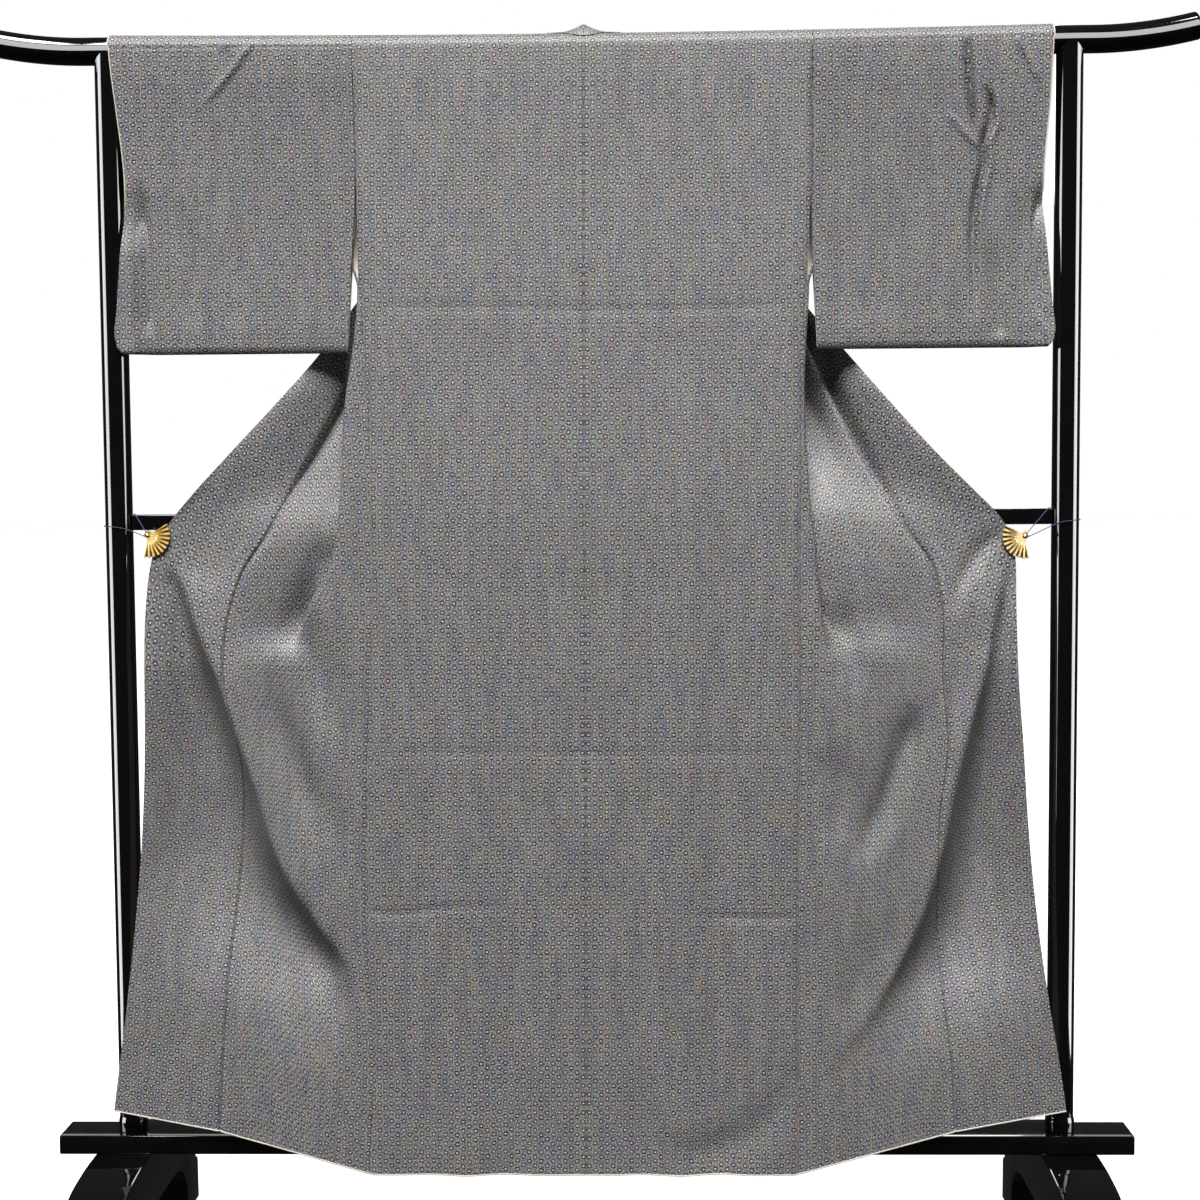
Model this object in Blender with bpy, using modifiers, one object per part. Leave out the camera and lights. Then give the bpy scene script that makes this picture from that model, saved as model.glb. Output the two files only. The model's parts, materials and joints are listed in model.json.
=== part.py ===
"""Silk kimono hung on its lacquered stand, seen from the back with both fronts drawn out.

Metres, +Z up, floor at Z = 0.  The back of the kimono faces -Y.  "Out" is the distance from the
middle of the stand towards the left (-X) or the right (+X), and "down" is the distance below the
top of the shoulders.  Every piece of cloth is a wall worked out from sections: a short table gives
a row for each level, and the columns in between are read from it smoothly.
"""
import math

import bmesh
import bpy
import numpy as np

# ---------------------------------------------------------------- driving sizes
CLOTH = 0.002                # lined silk wall
BAND = 0.003                 # folded collar wall
GAP = 0.0003                 # between neighbouring pieces

RAIL_RADIUS = 0.019
RAIL_Z = 1.735               # rail's middle line at the posts
RAIL_SAG = 0.005             # at the centre, under the cloth
RAIL_BEND = 0.700            # where the ends start to curve up
RAIL_TIP = 0.845
RAIL_RISE = 0.017
RAIL_STATIONS = (0.0, 0.20, 0.40, 0.60, RAIL_BEND, 0.725, 0.755, 0.790, 0.825, 0.843, RAIL_TIP)
TIP_EASE = 0.1               # share of the radius lost at the eased tip

POST_OUT = 0.669
POST_RADIUS = 0.019
SOCKET_RADIUS = 0.0194       # cut from the rail over each post
SOCKET_TOP = RAIL_Z - 0.004
SOCKET_DEPTH = 0.1
SOCKET_TURN = math.radians(5)        # keeps its corners off the rail's own lines
BASE_RADIUS = 0.0205
BASE_HEIGHT = 0.018          # of the low ring at its foot, up to the middle of its slope
BASE_SLOPE = 0.004           # half the height over which the ring eases into the post

MID_Z = 1.0765
MID_HEIGHT = 0.022
MID_DEPTH = 0.014

BEAM_TOP = 0.1965
BEAM_HEIGHT = 0.0275
BEAM_DEPTH = 0.060
BEAM_LENGTH = 1.538

BAR_EASE = 0.0015            # on the edges of the beam and the middle rail

FOOT_OUT = 0.677             # middle of each foot
FOOT_WIDTH = 0.081
FOOT_EASE = 0.003

SHOULDER = 0.0208            # middle of the cloth wall, from the rail's middle line
SHOULDER_Z = RAIL_Z + 0.020  # level that "down" is measured from
LOWEST = 1.61                # last level of the cloth tables
HEM = 1.607                  # hem of the back, down from the shoulders
HEM_AT_SEAM = 1.545          # where the overlap starts
HEM_AT_EDGE = 1.516          # at the free corner
NECK = 0.085                 # half width of the neck opening
NECK_SHIFT = 0.003           # the neck lies this far to the left of the stand's middle
SETTLED = 0.88               # below this the fronts hang flat
HEM_FORWARD = 0.006          # how far they lean forward from there to the hem

COLLAR_WIDTH = 0.055
CUFF = 0.23                  # open part of the sleeve's outer edge

# ---------------------------------------------------------------- cloth tables
# One row for each level of the back: side edge, centre seam and how far it stands forward.
BACK = {
    "down":        (0.00, 0.22, 0.35, 0.45, 0.62, 0.83, 1.07, 1.24, 1.44, 1.61),
    "left_side":   (.3240, .3200, .3180, .3120, .3050, .3070, .3160, .3190, .3110, .3190),
    "right_side":  (.3120, .3100, .3040, .2980, .2950, .2940, .2920, .2900, .2900, .2900),
    "centre":      (-.003, -.004, -.005, -.005, -.006, -.006, -.007, -.008, -.009, -.010),
    "forward":     (.0208, .0245, .0290, .0325, .0400, .0434, .0452, .0466, .0482, .0497),
}

# One row for each level of the drawn-out fronts.  "seam" is the seam between front and overlap,
# "edge" the free edge, "band" the shaded step beside the seam, "tuck" the outward fold beside the
# side seam, "width" the cloth from side seam to overlap seam.
FRONT = {
    "down":        (0.00, 0.10, 0.20, 0.30, 0.372, 0.444, 0.51, 0.59, 0.64, 0.68, 0.705, 0.74,
                    0.80, 0.90, 1.00, 1.10, 1.20, 1.35, 1.47, 1.55),
    "left_edge":   (.085, .146, .207, .271, .321, .383, .438, .511, .558, .592, .609, .619,
                    .6255, .628, .630, .635, .643, .660, .677, .688),
    "right_edge":  (.085, .143, .199, .256, .303, .362, .416, .486, .536, .575, .590, .595,
                    .5955, .598, .606, .613, .622, .641, .661, .672),
    "left_seam":   (.083, .143, .2035, .258, .288, .319, .3525, .395, .4235, .4455, .460, .484,
                    .5055, .514, .495, .499, .508, .520, .528, .533),
    "right_seam":  (.083, .140, .1955, .245, .280, .318, .348, .386, .413, .4355, .451, .476,
                    .492, .4925, .499, .4875, .487, .497, .508, .512),
    "left_band":   (.004, .006, .008, .010, .012, .015, .015, .013, .0125, .010, .0095, .009,
                    .006, .006, .006, .006, .006, .006, .006, .006),
    "right_band":  (.005, .005, .005, .005, .005, .006, .006, .006, .006, .007, .008, .009,
                    .008, .006, .006, .006, .006, .006, .006, .006),
    "left_tuck":   (0, 0, 0, 0, 0, .012, .027, .034, .038, .043, .047, .052,
                    .060, .060, .060, .060, .060, .060, .060, .060),
    "right_tuck":  (0, 0, 0, 0, 0, 0, 0, .004, .008, .012, .015, .018,
                    .024, .030, .030, .030, .030, .030, .030, .030),
    "left_width":  (.239, .237, .236, .232, .230, .226, .222, .218, .216, .214, .213, .212,
                    .211, .211, .211, .211, .211, .211, .211, .211),
    "right_width": (.227, .227, .226, .225, .225, .224, .224, .223, .223, .222, .222, .222,
                    .222, .222, .222, .222, .222, .222, .222, .222),
}

# How far the same levels stand behind (+) or in front of (-) the rail's middle line: the side edge,
# the inner fold, the ridge beside the band, the overlap seam and the free edge.
DEPTH = {
    "down":  (0.02, 0.06, 0.10, 0.20, 0.30, 0.38, 0.444, 0.51, 0.59, 0.64, 0.68, 0.74, 0.80, 0.88),
    "side":  (.0208, .0208, .0208, .018, .000, -.0275, -.0297, -.0327, -.0365, -.0382, -.0390,
              -.0395, -.0400, -.0405),
    "fold":  (.0208, .0208, .0208, .021, .014, .003, -.006, -.0145, -.0225, -.0265, -.0285,
              -.0320, -.0340, -.0405),
    "ridge": (.0208, .0270, .0305, .0335, .024, .010, -.004, -.013, -.022, -.0265, -.0295, -.0340,
              -.0375, -.0405),
    "seam":  (.0208, .0280, .0315, .0345, .025, .015, .006, -.003, -.0125, -.0175, -.0215, -.0270,
              -.0345, -.0405),
    "edge":  (.0208, .0290, .0325, .0355, .026, .015, .007, .000, -.010, -.0180, -.0240, -.0250,
              -.0320, -.0395),
}

# The long fold that runs down and inwards from each clip: where it lies and how deep it is.
LONG_FOLD = {
    "down":      (0.74, 0.90, 1.05, 1.16, 1.25, 1.36, 1.47),
    "left_out":  (.588, .524, .473, .439, .388, .305, .220),
    "right_out": (.580, .550, .512, .488, .462, .400, .329),
    "depth":     (.004, .009, .010, .009, .007, .004, .001),
}
LONG_FOLD_WIDTH = 0.022

# The sleeves, level by level: inner and outer edge, and half the space between the two layers.
SLEEVE = {
    "down":      (0.00, 0.06, 0.10, 0.215, 0.30, 0.38, 0.425, 0.437, 0.443),
    "left_in":   (.3246, .3242, .3236, .3234, .3290, .3340, .3370, .3380, .3385),
    "left_out":  (.6640, .6590, .6550, .6460, .6520, .6580, .6600, .6555, .6480),
    "right_in":  (.3130, .3128, .3124, .3114, .3130, .3170, .3195, .3200, .3205),
    "right_out": (.6440, .6410, .6395, .6320, .6360, .6430, .6460, .6430, .6370),
    "half_gap":  (.0208, .0195, .0165, .0110, .0080, .0060, .0045, .0030, .0000),
    "middle":    (.0000, -.0005, -.001, -.002, -.0045, -.0070, -.0085, -.0090, -.0090),
}

CLIPS = {
    "left":  {"out": 0.621, "down": 0.696},
    "right": {"out": 0.607, "down": 0.705},
}
CLIP_Y = -0.0256             # middle of the cloth where the clips hold it
JAW_ROOM = 0.002             # between the cloth and the jaw behind it
FAN_RADIUS = 0.034
FAN_PLEATS = 10
FAN_FROM = math.radians(30)  # above the level line, towards the cloth
FAN_TO = math.radians(-100)
FAN_PLATE = 0.001
FAN_RELIEF = 0.0007
PIN_GROOVE = 0.0022          # between fan and knob, where the tie loops round the pin
PIN_LOOP = 0.0031
JAW_REACH = 0.026
JAW_PLATE = 0.0018
JAW_LEAN = math.radians(35)  # below the level line, into the cloth

SIDES = {"left": -1.0, "right": 1.0}

# The collar over the neck, from the centre back outwards.  Each row: distance out, how much of it
# is lost towards the free edge, then five points (y, z) from the neckline seam to the free edge.
NECK_ARCH = (
    (0.000, 0.0, (-.0190, 1.7455), (-.0120, 1.7560), (.0010, 1.7615), (.0150, 1.7560),
     (.0240, 1.7430)),
    (0.025, 0.0, (-.0176, 1.7473), (-.0100, 1.7558), (.0030, 1.7590), (.0170, 1.7535),
     (.0260, 1.7400)),
    (0.050, 0.1, (-.0138, 1.7503), (-.0060, 1.7550), (.0075, 1.7555), (.0210, 1.7470),
     (.0290, 1.7335)),
    (0.072, 0.2, (-.0040, 1.7552), (.0050, 1.7556), (.0160, 1.7505), (.0270, 1.7400),
     (.0340, 1.7255)),
    (0.086, 0.30, (.0082, 1.7541), (.0172, 1.7497), (.0240, 1.7410), (.0305, 1.7290),
     (.0360, 1.7150)),
    (0.096, 0.40, (.0200, 1.7466), (.0255, 1.7388), (.0290, 1.7285), (.0330, 1.7165),
     (.0370, 1.7040)),
)
COLLAR_LEVELS = (0.055, 0.085, 0.12, 0.17, 0.23, 0.29, 0.35, 0.41, 0.47, 0.53, 0.59, 0.625, 0.655)
COLLAR_BEHIND = 0.0048       # from the free edge's cloth to the band behind it
COLLAR_LEAN = 0.003          # how much farther behind its folded edge lies

# Half of the foot's outline seen from the side, from the middle of its top to the arch beneath.
FOOT_OUTLINE = (
    (0.000, .1687), (0.040, .1687), (0.100, .1650), (0.150, .1560), (0.180, .1430),
    (0.205, .1180), (0.218, .0920), (0.222, .0700), (0.232, .0660), (0.235, .0600),
    (0.235, .0000), (0.165, .0000), (0.160, .0500), (0.140, .0760), (0.100, .0870),
)

# The ties: round the post from its inner front to its inner back, then over the middle rail.
TIE_TURNS = {
    "angle":  (-45, -15, 15, 45, 75, 105, 135, 165, 195, 225, 245),
    "height": (1.0670, 1.0695, 1.0710, 1.0712, 1.0715, 1.0725, 1.0745, 1.0775, 1.0810, 1.0850,
               1.0890),
}
TIE_RADIUS = 0.0208          # from the post's middle line to the cord's
TIE = 0.0012
TIE_OVER_RAIL = ((0.6465, 0.0010, 1.0889), (0.6440, -0.0090, 1.0886))    # out, forward, height

# ---------------------------------------------------------------- how finely the cloth is divided
SEAM_GAP = 0.0003            # each side stops this far from the centre seam
BACK_WAVE = 0.004            # of the back's lower half
PANEL_GAP = 0.0015           # front and overlap each stop this far from their seam
TUCK_ROUND = 0.0028
FOLD_ROUND = 0.0045
LEAST_LAP = 0.018            # of cloth between the two turns
LEAST_STEP = 0.003           # between two columns of the fronts
LEAST_FRONT = 0.016          # of cloth between the inner fold and the overlap seam
PAST_POST = 0.016            # the sleeve's outer edge comes this far forward to pass its post
PASSING_OUT = (0.600, 0.648)
PASSING_DOWN = (0.225, 0.31)
WRAP = np.radians((90.0, 67.5, 45.0, 22.5, 0.0))          # steps of the cloth over the rail
BACK_LEVELS = (HEM, 1.50, 1.38, 1.26, 1.14, 1.02, 0.90, 0.78, 0.66, 0.55, 0.45, 0.35, 0.25,
               0.15, 0.07)
NECK_LEVELS = (0.045, 0.08)                          # of the front, above its inner fold
FOLD_FROM = 0.115
FOLDED_COLUMN = 9                                    # the front's column where the fold turns
FRONT_LEVELS = (FOLD_FROM, 0.16, 0.22, 0.28, 0.33, 0.38, 0.42, 0.46, 0.51, 0.57, 0.63,
                0.68, 0.72, 0.75, 0.78, 0.81, 0.84, 0.88, 0.96, 1.05, 1.15, 1.26, 1.38, 1.50, LOWEST)
OVERLAP_LEVELS = (0.22, 0.28, 0.33, 0.38, 0.42, 0.46, 0.51, 0.57, 0.63, 0.66, 0.68, 0.70, 0.72,
                  0.76, 0.81, 0.88, 0.96, 1.05, 1.15, 1.26, 1.38, 1.50, LOWEST)
OVERLAP_COLUMNS = 6
NECK_COLUMNS = 3                                     # of the back, inside the neck opening
SLEEVE_LEVELS = (0.06, 0.10, 0.16, 0.215, 0.26, 0.30, 0.34, 0.38, 0.41, 0.425, 0.437, 0.443)
SLEEVE_WRAP = np.radians((0.0, 22.5, 45.0, 67.5, 90.0, 112.5, 135.0, 157.5, 180.0))
SLEEVE_COLUMNS = 8
PINCHED = 0.0020                                     # half gap at the outer edge below the cuff

# ---------------------------------------------------------------- scene and small helpers
for old in list(bpy.data.objects):
    bpy.data.objects.remove(old, do_unlink=True)

parts = bpy.data.collections.new("silk_kimono")
bpy.context.scene.collection.children.link(parts)
cutters = bpy.data.collections.new("cutters")
bpy.context.scene.collection.children.link(cutters)


def material(name, colour, roughness, metallic=0.0):
    """A plain Principled finish."""
    made = bpy.data.materials.new(name)
    made.use_nodes = True
    shader = made.node_tree.nodes["Principled BSDF"]
    shader.inputs["Base Color"].default_value = (*colour, 1.0)
    shader.inputs["Roughness"].default_value = roughness
    shader.inputs["Metallic"].default_value = metallic
    return made


def finish(thing, colour, roughness, metallic=0.0):
    """Give the object its own material and put it among the parts."""
    thing.data.materials.clear()
    thing.data.materials.append(material(thing.name, colour, roughness, metallic))
    for home in list(thing.users_collection):
        home.objects.unlink(thing)
    parts.objects.link(thing)
    return thing


SILK = ((0.27, 0.27, 0.29), 0.55)
LACQUER = ((0.010, 0.010, 0.012), 0.12)
GILT = ((0.83, 0.58, 0.16), 0.28, 1.0)
CORD = ((0.09, 0.05, 0.20), 0.60)


def read(table, column, level):
    """A column of a table at any level, on a smooth curve through its rows (Hermite pieces)."""
    x = np.asarray(table["down"], float)
    y = np.asarray(table[column], float)
    slope = np.gradient(y, x)
    at = np.clip(np.asarray(level, float), x[0], x[-1])
    i = np.clip(np.searchsorted(x, at) - 1, 0, len(x) - 2)
    step = x[i + 1] - x[i]
    t = (at - x[i]) / step
    return ((1 + 2 * t) * (1 - t) ** 2 * y[i] + t * (1 - t) ** 2 * step * slope[i]
            + t * t * (3 - 2 * t) * y[i + 1] + t * t * (t - 1) * step * slope[i + 1])


def ramp(value, start, stop):
    """0 before start, 1 after stop, smooth in between."""
    t = np.clip((value - start) / (stop - start), 0, 1)
    return t * t * (3 - 2 * t)


def rail_line(out):
    """Height of the rail's middle line at a distance out from the centre."""
    out = np.abs(out)
    sag = RAIL_SAG * (1 - np.clip(out / POST_OUT, 0, 1) ** 2)
    bend = np.clip((out - RAIL_BEND) / (RAIL_TIP - RAIL_BEND), 0, None)
    return RAIL_Z - sag + RAIL_RISE * bend ** 2


def sheet_object(name, points, faces, wall):
    """An open surface thickened to a wall, half to each side."""
    mesh = bpy.data.meshes.new(name)
    mesh.from_pydata([tuple(p) for p in points], [], faces)
    mesh.update()
    shaper = bmesh.new()
    shaper.from_mesh(mesh)
    bmesh.ops.remove_doubles(shaper, verts=shaper.verts, dist=1e-5)
    bmesh.ops.recalc_face_normals(shaper, faces=shaper.faces)
    shaper.to_mesh(mesh)
    shaper.free()
    thing = bpy.data.objects.new(name, mesh)
    solid = thing.modifiers.new("wall", "SOLIDIFY")
    solid.thickness = wall
    solid.offset = 0.0
    return finish(thing, *SILK)


def grid_faces(rows, columns, first=0):
    """Quads of a grid whose points run row by row."""
    corner = [(first + r * columns + c) for r in range(rows - 1) for c in range(columns - 1)]
    return [(i, i + 1, i + columns + 1, i + columns) for i in corner]


# ---------------------------------------------------------------- the back and the fronts
def drop(nominal, hem):
    """Real level of a nominal one: below SETTLED the levels stretch to this column's own hem."""
    return nominal + (hem - LOWEST) * np.clip((nominal - SETTLED) / (LOWEST - SETTLED), 0, 1)


def depth(column, nominal):
    """A depth of the fronts; below SETTLED it goes on in line with the back."""
    lean = np.interp(nominal, (SETTLED, LOWEST), (0.0, -HEM_FORWARD))
    return read(DEPTH, column, np.minimum(nominal, SETTLED)) + lean


def long_fold(side, down, out):
    """Depth of the long fold: a trough with a ridge on its inner side."""
    place = read(LONG_FOLD, side + "_out", down)
    deep = read(LONG_FOLD, "depth", down) * ramp(down, 0.75, 0.84) * (1 - ramp(down, 1.40, 1.50))
    across = (out - place) / LONG_FOLD_WIDTH
    return deep * (1.5 * across + 0.4) * np.exp(-across ** 2 / 2)


def front_row(side, nominal):
    """One section of a front, from the side edge to the overlap seam: (out, y, down) columns.

    The cloth starts outwards at the side edge, turns back under itself at the tuck, runs inwards
    behind the back, turns again at the inner fold and comes out to the overlap seam.  Both turns
    are round, and the inner fold lies where the width of the cloth puts it.  At the shoulder and
    below SETTLED the folds have run out and the cloth is flat.
    """
    down_side, down_seam = drop(nominal, HEM), drop(nominal, HEM_AT_SEAM)
    start = float(read(BACK, side + "_side", down_side))
    end = float(read(FRONT, side + "_seam", down_seam)) - PANEL_GAP
    width = float(read(FRONT, side + "_width", down_seam))
    tuck = float(read(FRONT, side + "_tuck", nominal))
    band = float(read(FRONT, side + "_band", nominal))
    curled = float(ramp(nominal, 0.10, 0.22))         # the side edge starts to roll under itself
    folded = 1 - float(ramp(nominal, 0.745, SETTLED))  # 0 where both folds have run out

    arc_1, arc_2 = math.pi * TUCK_ROUND, math.pi * FOLD_ROUND
    turn_1 = tuck
    turn_2 = (start + 2 * tuck + arc_1 + width - arc_2 - end) / 2
    turn_2 = min(max(turn_2, turn_1 + arc_1 + LEAST_LAP * folded), width - arc_2 - LEAST_FRONT)
    after = turn_2 + arc_2
    ridge = max(width - band, after + 0.008)
    marks = [0.0, turn_1 / 2, turn_1, turn_1 + arc_1 / 2, turn_1 + arc_1]
    marks += [turn_1 + arc_1 + (turn_2 - turn_1 - arc_1) * t for t in (0.2, 0.4, 0.6, 0.8, 1.0)]
    marks += [turn_2 + arc_2 / 3, turn_2 + 2 * arc_2 / 3]
    marks += [after + (ridge - after) * t for t in (0.0, 0.25, 0.5, 0.75, 1.0)]
    marks += [width]
    marks = np.array(marks)
    count = np.arange(len(marks))
    marks = np.maximum.accumulate(np.maximum(marks, count * LEAST_STEP))
    marks = np.minimum(marks, width - (count[-1] - count) * LEAST_STEP)
    marks = marks + (np.linspace(0, width, len(marks)) - marks) * ramp(nominal, 0.80, 1.15)

    # follow the cloth round both turns; a heading of 0 is outwards, pi inwards
    run = np.linspace(0, width, 1200)
    first = np.clip((run - turn_1) / arc_1, 0, 1)
    second = np.clip((run - turn_2) / arc_2, 0, 1)
    heading = math.pi * folded * (1 - curled * (1 - first) - second)
    half = (heading[1:] + heading[:-1]) / 2
    x_run = start + np.concatenate(([0], np.cumsum(np.cos(half)))) * run[1]
    y_run = np.concatenate(([0], np.cumsum(np.sin(half)))) * run[1]
    x = np.interp(marks, run, x_run)
    x += (end - x[-1]) * np.clip((marks - turn_2) / (width - turn_2), 0, 1)

    # lean the layers so that fold, ridge and seam come to their depths
    y_side = float(depth("side", nominal))
    at_fold, at_ridge, at_seam = np.interp((turn_2, ridge, width), run, y_run)
    lean_fold = max(float(depth("fold", nominal)) - y_side - at_fold, 0.0)
    lean_ridge = float(depth("ridge", nominal)) - y_side - at_ridge
    lean_seam = float(depth("seam", nominal)) - y_side - at_seam
    y = y_side + np.interp(marks, run, y_run) + np.interp(
        marks, (0, turn_1 + arc_1, turn_2, after, ridge, width),
        (0, 0, lean_fold, lean_fold, lean_ridge, lean_seam))
    down = down_side + (down_seam - down_side) * marks / width
    y = y + long_fold(side, down, x) * ramp(marks, 0.01, 0.06)
    return np.stack((x, y, down), axis=1)


def overlap_row(side, nominal):
    """One section of an overlap, from its seam to the free edge."""
    down_seam, down_edge = drop(nominal, HEM_AT_SEAM), drop(nominal, HEM_AT_EDGE)
    start = float(read(FRONT, side + "_seam", down_seam)) + PANEL_GAP
    end = float(read(FRONT, side + "_edge", down_edge))
    y_seam, y_edge = float(depth("seam", nominal)), float(depth("edge", nominal))
    share = np.linspace(0, 1, OVERLAP_COLUMNS)
    x = start + (end - start) * share
    down = down_seam + (down_edge - down_seam) * share
    y = y_seam + (y_edge - y_seam) * share + long_fold(side, down, x) * (1 - share ** 4)
    return np.stack((x, y, down), axis=1)


def place(side, out, y, down):
    """Turn distances out and down into a point of the room."""
    return (SIDES[side] * out, y, SHOULDER_Z - down)


def body(side):
    """Back and front of one side in one cloth, laid over the rail.

    The columns of the inner layer run on over the shoulder and down the back, where three more
    join them inside the neck opening.  The outer layer of the inner fold starts at FOLD_FROM,
    hidden between the front and the collar.
    """
    sign = SIDES[side]
    fold_row = front_row(side, FOLD_FROM)
    spans = (fold_row[0, 0] - fold_row[:FOLDED_COLUMN + 1, 0])
    spans = spans / spans[-1]                              # 0 at the side edge, 1 at the neck
    even = np.linspace(0, 1, len(spans))
    neck = np.linspace(1, 0, NECK_COLUMNS + 1)[1:]

    def spread(over):
        """Column shares at a distance over the shoulder, negative on the front."""
        return spans + (even - spans) * ramp(over, -FOLD_FROM, 0.25)

    rows = []
    for level in BACK_LEVELS:
        edge = float(read(BACK, side + "_side", level))
        middle = sign * float(read(BACK, "centre", level)) + SEAM_GAP
        to_neck = (edge - NECK) / (edge - middle)
        shares = np.concatenate((1 - spread(level) * to_neck, neck * (1 - to_neck)))
        rows.append([place(side, middle + (edge - middle) * share,
                           back_depth(side, level, share), level) for share in shares])
    top_edge = BACK[side + "_side"][0]
    for angle in WRAP[::-1]:
        lap = -SHOULDER * (angle - math.pi / 2)
        columns = list(top_edge - spread(lap) * (top_edge - NECK))
        if angle < math.radians(46):
            columns += list(NECK * neck + (SEAM_GAP - sign * NECK_SHIFT) * (1 - neck))
        rows.append([(sign * out, -SHOULDER * math.cos(angle),
                      rail_line(out) + SHOULDER * math.sin(angle)) for out in columns])
    for angle in WRAP[1:]:
        lap = SHOULDER * (angle - math.pi / 2)
        columns = top_edge - spread(lap) * (top_edge - NECK)
        rows.append([(sign * out, SHOULDER * math.cos(angle),
                      rail_line(out) + SHOULDER * math.sin(angle)) for out in columns])
    for nominal in NECK_LEVELS:
        edge = float(read(BACK, side + "_side", nominal))
        neck_edge = float(read(FRONT, side + "_seam", nominal)) - PANEL_GAP
        y_side, y_neck = float(depth("side", nominal)), float(depth("fold", nominal))
        shares = spread(-nominal)
        rows.append([place(side, edge + (neck_edge - edge) * t, y_side + (y_neck - y_side) * t,
                           nominal) for t in shares])
    for nominal in FRONT_LEVELS:
        rows.append([place(side, *p) for p in front_row(side, nominal)])

    points, faces, first = [], [], []
    for row in rows:
        first.append(len(points))
        points += row
    for r in range(len(rows) - 1):
        shared = min(len(rows[r]), len(rows[r + 1]))
        a, b = first[r], first[r + 1]
        faces += [(a + c, a + c + 1, b + c + 1, b + c) for c in range(shared - 1)]
    return sheet_object("body_" + side, points, faces, CLOTH)


def back_depth(side, level, share):
    """How far the back stands, with the soft waves of its lower half."""
    calm = math.sin(math.pi * share) ** 2
    wave = math.sin(2 * math.pi * (2.5 * share + 0.15 * SIDES[side]))
    return -float(read(BACK, "forward", level)) - BACK_WAVE * ramp(level, 0.3, 1.2) * calm * wave


def overlap(side):
    """The narrow front panel between the overlap seam and the free edge."""
    rows = [overlap_row(side, nominal) for nominal in OVERLAP_LEVELS]
    points = [place(side, *p) for row in rows for p in row]
    return sheet_object("overlap_" + side, points, grid_faces(len(rows), OVERLAP_COLUMNS), CLOTH)


# ---------------------------------------------------------------- sleeves
def sleeve(side):
    """A sleeve: one cloth over the rail, its two layers joined at the bottom."""
    loop = [(level, -1.0) for level in SLEEVE_LEVELS[::-1]]
    loop += [(level, 1.0) for level in SLEEVE_LEVELS[1:]]
    share = np.linspace(0, 1, SLEEVE_COLUMNS)
    top_in, top_out = SLEEVE[side + "_in"][0], SLEEVE[side + "_out"][0]
    rows = []

    def layer_row(level, way):
        inner = float(read(SLEEVE, side + "_in", level))
        outer = float(read(SLEEVE, side + "_out", level))
        half = float(read(SLEEVE, "half_gap", level))
        middle = float(read(SLEEVE, "middle", level))
        out = inner + (outer - inner) * share
        pinch = ramp(level, CUFF - 0.02, CUFF + 0.05) * ramp(share, 0.80, 1.0)
        spread = half * (1 - pinch) + min(half, PINCHED) * pinch
        aside = -PAST_POST * ramp(out, *PASSING_OUT) * ramp(level, *PASSING_DOWN)
        y = middle + aside + way * spread
        return [place(side, o, d, level) for o, d in zip(out, y)]

    for level in SLEEVE_LEVELS[::-1]:
        rows.append(layer_row(level, -1.0))
    for angle in SLEEVE_WRAP:
        out = top_in + (top_out - top_in) * share
        rows.append([(SIDES[side] * o, -SHOULDER * math.cos(angle),
                      rail_line(o) + SHOULDER * math.sin(angle)) for o in out])
    for level in SLEEVE_LEVELS[:-1]:
        rows.append(layer_row(level, 1.0))
    points = [p for row in rows for p in row]
    count = len(rows)
    faces = grid_faces(count, SLEEVE_COLUMNS)
    last, n = (count - 1) * SLEEVE_COLUMNS, SLEEVE_COLUMNS
    faces += [(last + c, last + c + 1, c + 1, c) for c in range(n - 1)]
    return sheet_object("sleeve_" + side, points, faces, CLOTH)


# ---------------------------------------------------------------- collar
def collar(side):
    """Half of the folded band: over the rail at the neck, then behind one free edge."""
    sign = SIDES[side]
    across = (0.0, 0.25, 0.5, 0.75, 1.0)
    rows = []
    for out, drawn_in, *dots in NECK_ARCH:
        rows.append([(sign * (max(out, SEAM_GAP) - out * drawn_in * t) - NECK_SHIFT, y, z)
                     for t, (y, z) in zip(across, dots)])
    for nominal in COLLAR_LEVELS:
        edge, before, after = (float(read(FRONT, side + "_edge", nominal + step))
                               for step in (0.0, -0.01, 0.01))
        slope = (after - before) / 0.02
        length = math.hypot(1, slope)
        inward, downward = -1 / length, slope / length      # square to the edge, into the cloth
        y_edge = float(depth("edge", nominal))
        drift = (float(depth("edge", nominal + 0.03)) - y_edge) / 0.03
        row = []
        for t in across:
            reach = COLLAR_WIDTH * t
            y = y_edge + COLLAR_BEHIND + COLLAR_LEAN * t + drift * reach * downward
            row.append(place(side, edge + inward * reach, y, nominal + downward * reach))
        rows.append(row)
    points = [p for row in rows for p in row]
    return sheet_object("collar_" + side, points, grid_faces(len(rows), len(across)), BAND)


# ---------------------------------------------------------------- the stand
def block(name, centre, size):
    """A plain rectangular bar with eased edges."""
    bpy.ops.mesh.primitive_cube_add(size=1.0, location=centre)
    bar = bpy.context.object
    bar.name = bar.data.name = name
    bar.scale = size
    bpy.ops.object.transform_apply(location=False, rotation=False, scale=True)
    eased = bar.modifiers.new("eased edges", "BEVEL")
    eased.width = BAR_EASE
    eased.segments = 2
    return finish(bar, *LACQUER)


def turned(name, profile, steps, location, rotation, look):
    """A turned piece from a profile of (radius, height), top to bottom."""
    mesh = bpy.data.meshes.new(name)
    mesh.from_pydata([(r, 0.0, z) for r, z in profile], [(i, i + 1) for i in range(len(profile) - 1)],
                     [])
    piece = bpy.data.objects.new(name, mesh)
    piece.location = location
    piece.rotation_euler = rotation
    lathe = piece.modifiers.new("lathe", "SCREW")
    lathe.steps = lathe.render_steps = steps
    lathe.use_merge_vertices = True
    lathe.merge_threshold = 0.00005
    return finish(piece, *look)


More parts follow.
